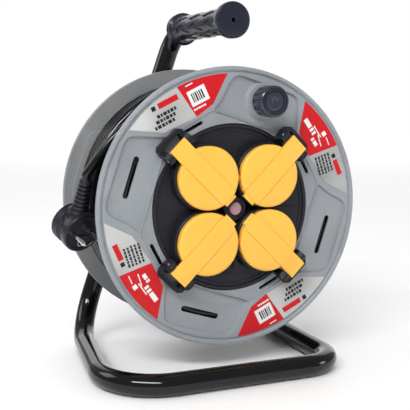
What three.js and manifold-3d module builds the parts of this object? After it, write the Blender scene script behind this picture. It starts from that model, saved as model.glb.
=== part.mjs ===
// Extension cord reel: a drum with four covered sockets, wound with mains cable and
// turning on an axle bolt in a bent steel tube frame. Millimetres, +Z up, sockets facing -Y.
// Everything is drawn in the drum's own frame, with its axis on Y and the front rim at y = 0.
// The last lines set the whole reel on the floor, centred over the origin.
import * as THREE from 'three';
import { mergeVertices } from 'three/addons/utils/BufferGeometryUtils.js';
import Module from 'manifold-3d';

// Drum
const DRUM_RADIUS = 130;
const DRUM_WIDTH = 129;
const WEB_FRONT = 1.2; // front face of the front web
const WEB_BACK = 6;
const POCKET_FLOOR = 3.6; // floor of the sector pockets
const REAR_WEB = 123; // inner face of the rear web
const HUB_RADIUS = 82;
const HUB_WALL = 3;
const SLOT_RADIUS = 102;
const SLOT_LENGTH = 39;
const SLOT_WIDTH = 5;
const VENT_RADIUS = 84;
const VENT_LENGTH = 22;
const VENT_WIDTH = 3.5;
const SECTOR = THREE.MathUtils.degToRad(72); // the knob's direction; the slots follow every 90 degrees
const QUARTER = Math.PI / 2;
const SCREW_ORBIT = 73; // the screws that hold the hub to the rear flange
const LABEL_RADIUS = 123.4;
const LABEL_FRONT = 0.5;
const LABEL_BACK = 0.9;

// Socket panel, sockets and lids
const PANEL_RADIUS = 77.6;
const PANEL_FRONT = 3;
const SOCKET_OFFSET = 30 * Math.SQRT2; // socket centres from the drum axis, on the diagonals
const COLLAR_RADIUS = 30.6;
const COLLAR_FRONT = -9;
const INSERT_RADIUS = 26.6;
const INSERT_FRONT = COLLAR_FRONT + 0.4;
const WELL_RADIUS = 19.7;
const WELL_DEPTH = 17.5;
const PIN_SPACING = 19;
const LID_RADIUS = 28.9;
const LID_FRONT = -16.4;
const LID_WALL = 2.4;
const LID_REST = -9.4; // rim of the closed lid
const NECK_WIDTH = 18.4;
const NECK_END = 43.2; // from the lid's centre
const HINGE_REACH = 37.6; // pin axis from the lid's centre
const HINGE_Y = -10.5;
const HINGE_PIN_LENGTH = 30.4;
const HINGE_PIN_RADIUS = 1.5;
const KNUCKLE_RADIUS = 4.2;
const EAR_LENGTH = 11;
const EAR_WIDTH = 5.4;
const EAR_OFFSET = 12.5; // ear centres either side of a socket's diagonal
const BUTTON_RADIUS = 6;
const BUTTON_FRONT = -6.6;

// Winding knob
const KNOB_ORBIT = 103;
const KNOB_RADIUS = 14.3;
const KNOB_FRONT = -21.5;
const KNOB_BACK = 0.1;
const FLUTES = 14;

// Frame tube, grip and axle
const TUBE_RADIUS = 10;
const TUBE_WALL = 1.5;
const TUBE_SIDES = 12;
const HANDLE_HEIGHT = 171;
const REAR_PLANE = 151; // centreline of both uprights
const FOOT_DROP = 144; // centreline of the foot loop below the drum axis
const FOOT_FROM = -70; // the foot loop is joined to the uprights at this height
const FRONT_BAR = -46;
const LEFT_REAR = -110;
const LEFT_FRONT = -134;
const RIGHT_REAR = 92;
const RIGHT_FRONT = 89;
const BENDS = [26, 50, 53, 34, 50]; // centreline radii, from the handle round to the right upright
const GRIP_LENGTH = 134.5;
const GRIP_RADIUS = 12.8;
const COLLAR_OF_GRIP = 16.5;
const AXLE_RADIUS = 5;
const AXLE_START = 88;
const WASHER_RADIUS = 11;
const HEX_ACROSS = 17;
const BUSH_RADIUS = 12;
const BUSH_COLLAR = 17;
const GAP = 0.3; // between pieces that turn or are assembled

// Cable
const CABLE_RADIUS = 4.5;
const WINDING_FULL = 115; // over the last, part-filled layer
const WINDING_LOW = 107; // over the layer below it
const LAST_LAYER_FROM = 64; // the last layer lies behind this
const PLUG_FACE = new THREE.Vector3(-129.2, 50, -23.5);
const PLUG_OUT = new THREE.Vector3(0.313, -0.871, -0.38).normalize(); // the way the pins point
const PLUG_LEAD = new THREE.Vector3(0.129, -0.358, 0.925); // the way the cable leaves the plug
const PLUG_RADIUS = 19.5;
const PLUG_DEPTH = 26;
const PLUG_PIN_LENGTH = 19;
const RELIEF_START = 20.3;
const RELIEF_LENGTH = 30;

const finish = (color, roughness, metalness = 0) =>
  new THREE.MeshStandardMaterial({ color, roughness, metalness });
const MATERIALS = {
  grey: finish(0x8c9196, 0.5),
  black: finish(0x37373f, 0.45),
  yellow: finish(0xfac450, 0.4),
  rubber: finish(0x2c2c34, 0.7),
  enamel: finish(0x101014, 0.15),
  steel: finish(0xb8b8b8, 0.3, 1),
  brass: finish(0xc8a050, 0.35, 1),
  rose: finish(0xa58c96, 0.3),
  cable: finish(0x1c1c20, 0.5),
  foil: finish(0xc8282e, 0.35),
};

const wasm = await Module();
wasm.setup();

// A closed geometry as a solid that can be joined and cut.
function solid(geometry) {
  const bare = geometry.clone();
  bare.deleteAttribute('normal');
  bare.deleteAttribute('uv');
  const merged = mergeVertices(bare, 1e-4);
  const triVerts = [];
  for (let i = 0; i < merged.index.count; i += 3) {
    const [a, b, c] = [0, 1, 2].map((k) => merged.index.getX(i + k));
    if (a !== b && b !== c && c !== a) triVerts.push(a, b, c);
  }
  const vertProperties = merged.attributes.position.array;
  return new wasm.Manifold(new wasm.Mesh({
    numProp: 3, vertProperties, triVerts: Uint32Array.from(triVerts),
  }));
}

function geometryOf(manifold) {
  const { vertProperties, triVerts } = manifold.getMesh();
  const geometry = new THREE.BufferGeometry();
  geometry.setAttribute('position', new THREE.BufferAttribute(vertProperties, 3));
  geometry.setIndex(new THREE.BufferAttribute(triVerts, 1));
  return geometry;
}

const joined = (...geometries) =>
  geometryOf(geometries.map(solid).reduce((whole, piece) => whole.add(piece)));
const cut = (geometry, ...tools) =>
  geometryOf(tools.map(solid).reduce((whole, tool) => whole.subtract(tool), solid(geometry)));

// A solid of revolution about Y; the closed profile of [radius, y] runs out along its low-y side.
function turned(profile, segments) {
  const points = [...profile, profile[0]].map(([r, y]) => new THREE.Vector2(r, y));
  return geometryOf(solid(new THREE.LatheGeometry(points, segments)));
}

const ring = (inner, outer, y0, y1, segments = 32) =>
  turned([[inner, y0], [outer, y0], [outer, y1], [inner, y1]], segments);
const disc = (radius, y0, y1, segments = 24) =>
  new THREE.CylinderGeometry(radius, radius, y1 - y0, segments).translate(0, (y0 + y1) / 2, 0);
const block = (width, depth, height, x, y, z) =>
  new THREE.BoxGeometry(width, depth, height).translate(x, y, z);

// An outline drawn in x and z, given thickness from y0 back to y1.
function prism(shape, y0, y1, curveSegments = 8) {
  const geometry = new THREE.ExtrudeGeometry(shape, {
    depth: y1 - y0, bevelEnabled: false, curveSegments, steps: 1,
  });
  return geometry.rotateX(QUARTER).translate(0, y1, 0);
}

// A slot with round ends, lying across the radius at the given polar angle.
function slotTool(orbit, angle, length, width, y0, y1) {
  const half = length / 2 - width / 2;
  const shape = new THREE.Shape();
  shape.absarc(0, half, width / 2, 0, Math.PI);
  shape.absarc(0, -half, width / 2, Math.PI, 2 * Math.PI);
  return prism(shape, y0, y1, 3).translate(orbit, 0, 0).rotateY(-angle);
}

const polar = (radius, angle) => new THREE.Vector2(radius * Math.cos(angle), radius * Math.sin(angle));

// ---- Flanges -------------------------------------------------------------------------------

// A flat-sided sector panel: straight sides, with its middle in the given direction.
function sectorShape() {
  const [outer, inner, tip, root] = [115, 89, 37.5, 42];
  const shape = new THREE.Shape();
  shape.moveTo(inner, -root);
  shape.lineTo(outer, -tip);
  shape.quadraticCurveTo(DRUM_RADIUS - 8, 0, outer, tip);
  shape.lineTo(inner, root);
  return shape;
}

const quarters = [0, 1, 2, 3].map((k) => SECTOR + k * QUARTER);
const screwAngles = [0, 1, 2, 3].map((k) => k * QUARTER);

function slotTools(y0, y1) {
  return quarters.flatMap((angle, k) => {
    const vent = angle - THREE.MathUtils.degToRad(44.5);
    const tools = [slotTool(VENT_RADIUS, vent, VENT_LENGTH, VENT_WIDTH, y0, y1)];
    if (k > 0) tools.push(slotTool(SLOT_RADIUS, angle, SLOT_LENGTH, SLOT_WIDTH, y0, y1));
    return tools;
  });
}

function frontFlange() {
  const plate = turned([
    [79, WEB_FRONT], [125, WEB_FRONT], [126.2, 0], [128.8, 0], [DRUM_RADIUS, 1.2],
    [DRUM_RADIUS, WEB_BACK], [79, WEB_BACK],
  ], 48);
  const pockets = quarters.map((angle) => prism(sectorShape(), 0, POCKET_FLOOR, 6).rotateY(-angle));
  const knobAt = polar(KNOB_ORBIT, SECTOR);
  const boss = new THREE.CylinderGeometry(18, 15.2, 3.4, 24).translate(knobAt.x, 2.4, knobAt.y);
  const dished = cut(plate, ...pockets);
  const stud = disc(3.4, -2, WEB_BACK + 1, 16).translate(knobAt.x, 0, knobAt.y);
  const studHead = disc(5.4, 3.2, WEB_BACK + 1, 16).translate(knobAt.x, 0, knobAt.y);
  return cut(joined(dished, boss), stud, studHead, ...slotTools(-1, WEB_BACK + 1));
}

function rearFlange() {
  const plate = turned([
    [BUSH_RADIUS + 0.4, 104], [17, 104], [17, REAR_WEB], [DRUM_RADIUS, REAR_WEB], [DRUM_RADIUS, 127.8],
    [128.8, DRUM_WIDTH], [126.2, DRUM_WIDTH], [125, 127], [27, 127], [26, DRUM_WIDTH],
    [BUSH_RADIUS + 0.4, DRUM_WIDTH],
  ], 48);
  const screwHoles = screwAngles.map((angle) =>
    disc(2.4, REAR_WEB - 1, DRUM_WIDTH, 12).translate(SCREW_ORBIT, 0, 0).rotateY(-angle));
  return cut(plate, ...screwHoles, ...slotTools(REAR_WEB - 1, DRUM_WIDTH));
}

function hubCore() {
  const [front, back] = [WEB_BACK + GAP, REAR_WEB - GAP];
  const shell = ring(HUB_RADIUS - HUB_WALL, HUB_RADIUS, front, back, 48);
  const posts = screwAngles.map((angle) =>
    disc(5, 30, back, 12).translate(SCREW_ORBIT + 1.5, 0, 0).rotateY(-angle));
  const bores = screwAngles.map((angle) =>
    disc(2.2, 90, back + 1, 12).translate(SCREW_ORBIT, 0, 0).rotateY(-angle));
  const entry = disc(5.6, 0, 12, 12).rotateX(QUARTER).translate(0, 16, HUB_RADIUS - 6);
  return cut(joined(shell, ...posts), ...bores, entry);
}

const hubScrew = () => joined(disc(4, DRUM_WIDTH - 1.7, DRUM_WIDTH, 10), disc(1.9, 92, DRUM_WIDTH - 1, 8));

// ---- Socket panel --------------------------------------------------------------------------

// One quarter's pieces are drawn with x outwards along its diagonal and the socket centre at x = 0.
function socketPanel() {
  const plate = turned([
    [BUTTON_RADIUS + 0.5, -4.6], [11, -4.6], [14, PANEL_FRONT], [73.5, PANEL_FRONT],
    [74.5, PANEL_FRONT - 1], [PANEL_RADIUS, PANEL_FRONT - 1], [PANEL_RADIUS, WEB_BACK],
    [BUTTON_RADIUS + 0.5, WEB_BACK],
  ], 40);
  const diagonals = [0, 1, 2, 3].map((k) => Math.PI / 4 + k * QUARTER);
  const place = (geometry, angle) => geometry.translate(SOCKET_OFFSET, 0, 0).rotateY(-angle);
  const collars = diagonals.map((angle) =>
    place(disc(COLLAR_RADIUS, COLLAR_FRONT, WEB_BACK, 28), angle));
  const [earFront, earBack] = [HINGE_Y - 4, WEB_BACK + 2];
  const ears = diagonals.flatMap((angle) => [-1, 1].map((side) => place(block(
    EAR_LENGTH, earBack - earFront, EAR_WIDTH,
    HINGE_REACH - 1.5, (earFront + earBack) / 2, side * EAR_OFFSET,
  ), angle)));
  const wells = diagonals.map((angle) =>
    place(disc(INSERT_RADIUS + 0.4, COLLAR_FRONT - 1, WEB_BACK + 1, 28), angle));
  const pins = diagonals.map((angle) => {
    const bore = disc(HINGE_PIN_RADIUS + GAP, -20, 20, 8).rotateX(QUARTER);
    return place(bore.translate(HINGE_REACH, HINGE_Y, 0), angle);
  });
  const sweep = diagonals.map((angle) =>
    place(block(16, 15, NECK_WIDTH + 1, HINGE_REACH + 1, HINGE_Y + 1, 0), angle));
  const button = disc(BUTTON_RADIUS + 0.4, -20, 20, 24);
  const under = ring(HUB_RADIUS - 3.6, 110, WEB_FRONT - GAP, 40, 40);
  return cut(joined(plate, ...collars, ...ears), ...wells, ...pins, ...sweep, button, under);
}

function socketInsert() {
  const floor = INSERT_FRONT + WELL_DEPTH;
  const body = disc(INSERT_RADIUS, INSERT_FRONT, floor + 3, 24);
  const well = disc(WELL_RADIUS, INSERT_FRONT - 1, floor, 24);
  const holes = [-1, 1].map((side) =>
    disc(2.7, INSERT_FRONT, floor + 4, 8).translate(0, 0, (side * PIN_SPACING) / 2));
  return cut(body, well, ...holes);
}

// The earth strap lies across the well's floor and turns up its two sides.
function earthClip() {
  const floor = INSERT_FRONT + WELL_DEPTH;
  const [reach, rise, thick] = [18.4, 15, 0.8];
  const shape = new THREE.Shape();
  shape.moveTo(-reach, GAP - rise);
  for (const [x, y] of [[thick - reach, GAP - rise], [thick - reach, -thick - GAP],
    [reach - thick, -thick - GAP], [reach - thick, GAP - rise], [reach, GAP - rise],
    [reach, -GAP], [-reach, -GAP]]) shape.lineTo(x, y);
  const strap = new THREE.ExtrudeGeometry(shape, { depth: 5, bevelEnabled: false });
  return strap.translate(0, floor, -2.5);
}

// Sleeves behind one pole of every socket, linked by a flat ring.
function busbar(side, inner, outer, y) {
  const sleeveFrom = INSERT_FRONT + WELL_DEPTH + 3.4;
  const tabs = [];
  const bores = [];
  for (let k = 0; k < 4; k += 1) {
    const angle = Math.PI / 4 + k * QUARTER;
    const at = (geometry) =>
      geometry.translate(SOCKET_OFFSET, 0, (side * PIN_SPACING) / 2).rotateY(-angle);
    tabs.push(at(disc(5, y, y + 1, 10)), at(disc(3.4, sleeveFrom, sleeveFrom + 13, 8)));
    bores.push(at(disc(2.5, sleeveFrom - 1, sleeveFrom + 14, 8)));
  }
  return cut(joined(ring(inner, outer, y, y + 1, 24), ...tabs), ...bores);
}

function lid() {
  const outline = new THREE.Shape();
  const half = NECK_WIDTH / 2;
  const start = Math.asin(half / LID_RADIUS);
  const lip = Math.asin(7 / LID_RADIUS);
  outline.moveTo(NECK_END, -half);
  outline.lineTo(NECK_END, half);
  outline.lineTo(LID_RADIUS * Math.cos(start), half);
  outline.absarc(0, 0, LID_RADIUS, start, Math.PI - lip, false);
  outline.lineTo(-LID_RADIUS - 2, 6.4);
  outline.lineTo(-LID_RADIUS - 2, -6.4);
  outline.absarc(0, 0, LID_RADIUS, Math.PI + lip, 2 * Math.PI - start, false);
  const plate = prism(outline, LID_FRONT, LID_FRONT + LID_WALL, 10);
  const skirt = ring(LID_RADIUS - LID_WALL, LID_RADIUS - 0.5, LID_FRONT + 1, LID_REST, 20);
  const knuckle = disc(KNUCKLE_RADIUS, -half, half, 10).rotateX(QUARTER).translate(HINGE_REACH, HINGE_Y, 0);
  const bore = disc(HINGE_PIN_RADIUS + GAP, -half - 1, half + 1, 8).rotateX(QUARTER);
  const notch = block(11, 9, 7, HINGE_REACH, HINGE_Y + 1.4, 0);
  return cut(joined(plate, skirt, knuckle), bore.translate(HINGE_REACH, HINGE_Y, 0), notch);
}

// A closed-coil torsion spring: each coil is a ridge of the sleeve.
function lidSpring() {
  const [inner, root, crest, coils, pitch] = [1.85, 2.3, 2.8, 3, 2];
  const profile = [[inner, -3]];
  for (let k = 0; k < coils; k += 1) {
    const y = -3 + k * pitch;
    profile.push([root, y], [crest, y + 0.5], [crest, y + 1.5]);
  }
  profile.push([root, 3], [inner, 3]);
  return turned(profile, 8).rotateX(QUARTER).translate(HINGE_REACH, HINGE_Y, 0);
}

// ---- Knob ----------------------------------------------------------------------------------

function knob() {
  const blank = turned([
    [0, KNOB_FRONT + 1.6], [1.5, KNOB_FRONT + 0.6], [8.9, KNOB_FRONT + 0.6], [9.3, KNOB_FRONT + 1.4],
    [10.4, KNOB_FRONT + 1.4], [10.8, KNOB_FRONT], [12.7, KNOB_FRONT], [KNOB_RADIUS, KNOB_FRONT + 1.5],
    [KNOB_RADIUS, KNOB_BACK - 4], [12.7, KNOB_BACK], [0, KNOB_BACK],
  ], 20);
  const bore = disc(3.4, -14.6, KNOB_BACK + 1, 12);
  const flutes = Array.from({ length: FLUTES }, (_, k) =>
    disc(1.1, KNOB_FRONT + 2, KNOB_BACK - 3.4, 6).translate(KNOB_RADIUS + 0.3, 0, 0)
      .rotateY((k * 2 * Math.PI) / FLUTES));
  return cut(blank, bore, ...flutes);
}

// ---- Frame ---------------------------------------------------------------------------------

// A bent tube's centreline: straight runs between corners, and rings only where it bends.
class BentLine extends THREE.Curve {
  constructor(corners, radii, bendSteps = 5) {
    super();
    this.rings = [];
    corners.forEach((corner, i) => {
      if (i === 0 || i === corners.length - 1) {
        const next = i === 0 ? corners[1].clone().sub(corner) : corner.clone().sub(corners[i - 1]);
        this.rings.push({ at: corner.clone(), along: next.normalize() });
        return;
      }
      const before = corners[i - 1].clone().sub(corner).normalize();
      const after = corners[i + 1].clone().sub(corner).normalize();
      const inside = before.angleTo(after);
      const middle = before.clone().add(after).normalize();
      const centre = corner.clone().addScaledVector(middle, radii[i] / Math.sin(inside / 2));
      const from = corner.clone().addScaledVector(before, radii[i] / Math.tan(inside / 2)).sub(centre);
      const axis = new THREE.Vector3().crossVectors(before, after).normalize();
      for (let k = 0; k <= bendSteps; k += 1) {
        const turn = (-(Math.PI - inside) * k) / bendSteps;
        this.rings.push({
          at: centre.clone().add(from.clone().applyAxisAngle(axis, turn)),
          along: before.clone().negate().applyAxisAngle(axis, turn),
        });
      }
    });
  }

  ringAt(t) { return this.rings[Math.round(t * (this.rings.length - 1))]; }

  getPoint(t) { return this.ringAt(t).at.clone(); }

  getPointAt(t) { return this.getPoint(t); }

  getTangentAt(t) { return this.ringAt(t).along.clone(); }

  // The section's turn that sets one of its flats square to the given direction at a ring.
  flatTowards(index, direction) {
    const { normals, binormals } = this.computeFrenetFrames(this.rings.length - 1, false);
    return Math.atan2(direction.dot(binormals[index]), direction.dot(normals[index]));
  }

  tube(flatRadius, sides, turn = 0) {
    const radius = flatRadius / Math.cos(Math.PI / sides);
    const corners = Array.from({ length: sides }, (_, k) => {
      const angle = turn + ((k + 0.5) * 2 * Math.PI) / sides;
      return new THREE.Vector2(radius * Math.cos(angle), radius * Math.sin(angle));
    });
    return new THREE.ExtrudeGeometry(new THREE.Shape(corners), {
      steps: this.rings.length - 1, extrudePath: this, bevelEnabled: false,
    });
  }
}

const vector = (x, y, z) => new THREE.Vector3(x, y, z);

// One tube runs from the handle down the left upright and round the foot loop; its right upright
// crosses behind the axle and is welded to the left one. It is parted into the uprights and the loop.
function framePieces() {
  const slopeLeft = -LEFT_REAR / (HANDLE_HEIGHT + FOOT_DROP);
  const slopeRight = -RIGHT_REAR / FOOT_DROP;
  const weldHeight = (slopeLeft * HANDLE_HEIGHT) / (slopeLeft - slopeRight);
  const weld = vector(slopeRight * weldHeight, REAR_PLANE, weldHeight);
  const rightFoot = vector(RIGHT_REAR, REAR_PLANE, -FOOT_DROP);
  const up = weld.clone().sub(rightFoot).normalize();
  const below = (distance) => weld.clone().addScaledVector(up, -distance);
  const path = (start) => new BentLine([
    vector(0, start, HANDLE_HEIGHT), vector(0, REAR_PLANE, HANDLE_HEIGHT),
    vector(LEFT_REAR, REAR_PLANE, -FOOT_DROP), vector(LEFT_FRONT, FRONT_BAR, -FOOT_DROP),
    vector(RIGHT_FRONT, FRONT_BAR, -FOOT_DROP), rightFoot, below(18),
  ], [0, ...BENDS, 0]);
  const line = path(5);
  const bar = line.rings.findIndex(({ at, along: way }) => way.x > 0.999 && at.y < 0);
  const turn = line.flatTowards(bar, vector(0, 0, -1));
  const stub = new BentLine([below(22), weld], [0, 0]);
  const bore = TUBE_RADIUS - TUBE_WALL;
  const axleHole = disc(AXLE_RADIUS + GAP, REAR_PLANE - 20, REAR_PLANE + 20, 16);
  const outside = joined(line.tube(TUBE_RADIUS, TUBE_SIDES, turn), stub.tube(TUBE_RADIUS, TUBE_SIDES));
  const whole = cut(outside, path(3).tube(bore, 8), stub.tube(bore, 8), axleHole);
  const reach = 4 * DRUM_RADIUS;
  const half = (side) => block(reach, reach, reach, 0, 0, FOOT_FROM + (side * reach) / 2);
  return { frame_tube: cut(whole, half(-1)), frame_foot: cut(whole, half(1)) };
}

function grip() {
  const [bore, flare] = [TUBE_RADIUS + 0.7, TUBE_RADIUS + 3.9]; // flared where the tube starts to bend
  return turned([
    [2, 0], [15.4, 0], [COLLAR_OF_GRIP, 1], [COLLAR_OF_GRIP, 7], [13.4, 12], [GRIP_RADIUS, 15],
    [GRIP_RADIUS, 119], [14.6, 125], [COLLAR_OF_GRIP, 127], [COLLAR_OF_GRIP, 133],
    [15.6, GRIP_LENGTH], [flare, GRIP_LENGTH], [flare, 124], [bore, 117], [bore, 4], [2, 4],
  ], 18).translate(0, 0, HANDLE_HEIGHT);
}

const hex = (across, y0, y1) => disc(across / Math.sqrt(3), y0, y1, 6);
const tubeFront = REAR_PLANE - TUBE_RADIUS;
const tubeBack = REAR_PLANE + TUBE_RADIUS;

const axlePieces = () => ({
  axle_bolt: joined(disc(AXLE_RADIUS, AXLE_START, tubeBack + 4, 16),
    hex(HEX_ACROSS, tubeBack + 3, tubeBack + 9)),
  axle_washer_rear: ring(AXLE_RADIUS + GAP, WASHER_RADIUS, tubeBack + 0.5, tubeBack + 2.6, 16),
  axle_nut: cut(hex(HEX_ACROSS, AXLE_START + 3, AXLE_START + 11),
    disc(AXLE_RADIUS + GAP, AXLE_START - 8, AXLE_START + 22, 16)),
  axle_washer_front: ring(AXLE_RADIUS + GAP, WASHER_RADIUS, AXLE_START + 11.4, AXLE_START + 13.4, 16),
  hub_bush: turned([
    [AXLE_RADIUS + GAP, AXLE_START + 14], [BUSH_RADIUS, AXLE_START + 14], [BUSH_RADIUS, DRUM_WIDTH + GAP],
    [BUSH_COLLAR, DRUM_WIDTH + GAP], [BUSH_COLLAR, DRUM_WIDTH + 2.3],
    [AXLE_RADIUS + GAP, DRUM_WIDTH + 2.3],
  ], 16),
  axle_spacer: ring(AXLE_RADIUS + GAP, 13, DRUM_WIDTH + 2.7, tubeFront - 0.4, 16),
});

// ---- Cable and plug ------------------------------------------------------------------------

function winding() {
  const [front, back] = [WEB_BACK + 0.5, REAR_WEB - 0.5];
  const inner = HUB_RADIUS + 0.5;
  return turned([
    [inner, front], [WINDING_LOW, front], [WINDING_LOW, LAST_LAYER_FROM],
    [WINDING_FULL, LAST_LAYER_FROM], [WINDING_FULL, back], [inner, back],
  ], 36);
}

// The free end leaves the winding over the top and comes down its left side to the plug.
function cableLead() {
  const reliefTop = PLUG_FACE.clone().addScaledVector(PLUG_OUT, -PLUG_DEPTH / 2)
    .addScaledVector(PLUG_LEAD, RELIEF_START + RELIEF_LENGTH + GAP);
  const route = [
    [62, 112.6, 42], [72, 112.6, 41], [82, 112.6, 40], [92, 112.6, 39], [102, 112.6, 38],
    [112, 112.7, 36.5], [122, 113.3, 35.5], [132, 115.2, 35], [142, 118.8, 35.3], [151, 122.8, 37],
  ].map(([degrees, radius, y]) => {
    const at = polar(radius, THREE.MathUtils.degToRad(degrees));
    return vector(at.x, y, at.y);
  });
  const straight = reliefTop.clone().addScaledVector(PLUG_LEAD, 7);
  const curve = new THREE.CatmullRomCurve3([...route, straight, reliefTop], false, 'centripetal');
  const sides = 8;
  const section = new THREE.Shape(Array.from({ length: sides }, (_, k) =>
    polar(CABLE_RADIUS, (k * 2 * Math.PI) / sides)));
  return new THREE.ExtrudeGeometry(section, { steps: 22, extrudePath: curve, bevelEnabled: false });
}

// Turns a geometry drawn along +Y so that it runs along a direction from a point.
function along(geometry, direction, origin) {
  const turn = new THREE.Quaternion().setFromUnitVectors(vector(0, 1, 0), direction);
  return geometry.applyQuaternion(turn).translate(origin.x, origin.y, origin.z);
}

const pinAxis = new THREE.Vector3().crossVectors(PLUG_OUT, PLUG_LEAD).normalize();
const onFace = (across, up) =>
  PLUG_FACE.clone().addScaledVector(pinAxis, across).addScaledVector(PLUG_LEAD, up);

function plugPieces() {
  const body = along(turned([
    [0, -PLUG_DEPTH], [13, -PLUG_DEPTH], [15.5, 3 - PLUG_DEPTH], [16.5, -12], [PLUG_RADIUS, -9],
    [PLUG_RADIUS, -1], [18.5, 0], [0, 0],
  ], 20), PLUG_OUT, PLUG_FACE);
  const middle = PLUG_FACE.clone().addScaledVector(PLUG_OUT, -PLUG_DEPTH / 2);
  const neck = along(new THREE.CylinderGeometry(9.6, 11.5, RELIEF_START - 6, 16)
    .translate(0, (RELIEF_START + 6) / 2 - GAP, 0), PLUG_LEAD, middle);
  const pockets = [-1, 1].map((side) =>
    along(disc(2.7, -6, 1, 12), PLUG_OUT, onFace((side * PIN_SPACING) / 2, 0)));
  const earthHole = along(disc(3.9, -16, 1, 14), PLUG_OUT, onFace(0, -10.5));
  const [tip, ribs] = [RELIEF_LENGTH, 5];
  const profile = [[0, 0], [9.4, 0]];
  for (let k = 0; k < ribs; k += 1) {
    const y = 5 + (k * (tip - 7)) / ribs;
    const radius = 9 - (k * 2.4) / ribs;
    profile.push([radius, y], [radius - 1.6, y + 0.8], [radius - 1.6, y + 2.2], [radius - 0.2, y + 3]);
  }
  profile.push([5.8, tip], [0, tip]);
  const pin = (side) => along(new THREE.CylinderGeometry(2.4, 2.4, PLUG_PIN_LENGTH + 5, 12)
    .translate(0, (PLUG_PIN_LENGTH - 5) / 2, 0), PLUG_OUT, onFace((side * PIN_SPACING) / 2, 0));
  return {
    plug_body: cut(joined(body, neck), ...pockets, earthHole),
    plug_pin_left: pin(-1),
    plug_pin_right: pin(1),
    plug_earth_socket: along(ring(2.7, 3.6, -15, -0.4, 14), PLUG_OUT, onFace(0, -10.5)),
    strain_relief: along(turned(profile, 10), PLUG_LEAD,
      middle.clone().addScaledVector(PLUG_LEAD, RELIEF_START)),
  };
}

// A saddle inside the hub that grips the cable where it enters.
function cordClamp() {
  const bar = block(20, 6, 6, 0, 16, HUB_RADIUS - HUB_WALL - 4.4);
  const legs = [-1, 1].map((side) => block(4, 6, 12, side * 8, 16, HUB_RADIUS - HUB_WALL - 9));
  return joined(bar, ...legs);
}

// ---- Labels --------------------------------------------------------------------------------

// Foil labels fill the land between two sector pockets; half a turn apart they repeat.
function labelShape(inner, from, to) {
  const shape = new THREE.Shape();
  shape.absarc(0, 0, LABEL_RADIUS, from, to, false);
  inner.forEach(([x, z]) => shape.lineTo(x, z));
  return shape;
}

const degrees = THREE.MathUtils.degToRad;
const WIDE_LABEL = labelShape(
  [[-66.3, 70.6], [-35.6, 84.5], [-19.6, 96]], degrees(92.6), degrees(143.5),
);
const TALL_LABEL = labelShape(
  [[68.8, 68.1], [79.6, 45.7], [97.6, 20.2]], degrees(3.4), degrees(52.8),
);

// ---- Assembly ------------------------------------------------------------------------------

const reel = new THREE.Group();

function add(parent, name, geometry, material) {
  const mesh = new THREE.Mesh(geometry, material);
  mesh.name = name;
  parent.add(mesh);
  return mesh;
}

for (const [name, geometry] of Object.entries(framePieces())) {
  add(reel, name, geometry, MATERIALS.enamel);
}
add(reel, 'grip', grip(), MATERIALS.rubber);
for (const [name, geometry] of Object.entries(axlePieces())) {
  add(reel, name, geometry, name === 'hub_bush' ? MATERIALS.black : MATERIALS.steel);
}
add(reel, 'front_flange', frontFlange(), MATERIALS.grey);
add(reel, 'rear_flange', rearFlange(), MATERIALS.grey);
add(reel, 'hub_core', hubCore(), MATERIALS.grey);
add(reel, 'socket_panel', socketPanel(), MATERIALS.black);
add(reel, 'reset_button', turned([
  [0, BUTTON_FRONT], [4.6, BUTTON_FRONT], [BUTTON_RADIUS, BUTTON_FRONT + 1], [BUTTON_RADIUS, 1], [0, 1],
], 24), MATERIALS.rose);
add(reel, 'thermal_cutout', block(18, 16, 18, 0, 14.6, 0), MATERIALS.black);
add(reel, 'busbar_live', busbar(1, 36, 39.8, 14.4), MATERIALS.brass);
add(reel, 'busbar_neutral', busbar(-1, 47.4, 51, 20), MATERIALS.brass);
add(reel, 'cord_clamp', cordClamp(), MATERIALS.black);

for (let k = 0; k < 4; k += 1) {
  const number = k + 1;
  const quarter = new THREE.Group();
  quarter.rotation.y = -(Math.PI / 4 + k * QUARTER);
  reel.add(quarter);
  const socket = new THREE.Group();
  socket.position.x = SOCKET_OFFSET;
  quarter.add(socket);
  add(socket, `socket_insert_${number}`, socketInsert(), MATERIALS.black);
  add(socket, `earth_clip_${number}`, earthClip(), MATERIALS.steel);
  add(socket, `lid_${number}`, lid(), MATERIALS.yellow);
  add(socket, `lid_seal_${number}`, ring(21.5, 25.5, LID_FRONT + LID_WALL + GAP, COLLAR_FRONT + 0.1, 20),
    MATERIALS.rubber);
  add(socket, `lid_spring_${number}`, lidSpring(), MATERIALS.steel);
  const half = HINGE_PIN_LENGTH / 2;
  const pin = disc(HINGE_PIN_RADIUS, -half, half, 8).rotateX(QUARTER)
    .translate(HINGE_REACH, HINGE_Y, 0);
  add(socket, `hinge_pin_${number}`, pin, MATERIALS.steel);
  const screw = add(reel, `hub_screw_${number}`, hubScrew(), MATERIALS.steel);
  screw.position.copy(vector(SCREW_ORBIT, 0, 0).applyAxisAngle(vector(0, 1, 0), -k * QUARTER));
  const shape = k % 2 === 0 ? TALL_LABEL : WIDE_LABEL;
  const label = add(reel, `label_${number}`, prism(shape, LABEL_FRONT, LABEL_BACK, 8), MATERIALS.foil);
  label.rotation.y = k < 2 ? 0 : Math.PI;
}

const knobAt = polar(KNOB_ORBIT, SECTOR);
add(reel, 'knob', knob(), MATERIALS.black).position.set(knobAt.x, 0, knobAt.y);
const stud = joined(disc(3, -14, 4, 12), disc(5, 3.6, 5.7, 12));
add(reel, 'knob_stud', stud, MATERIALS.steel).position.set(knobAt.x, 0, knobAt.y);

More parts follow.
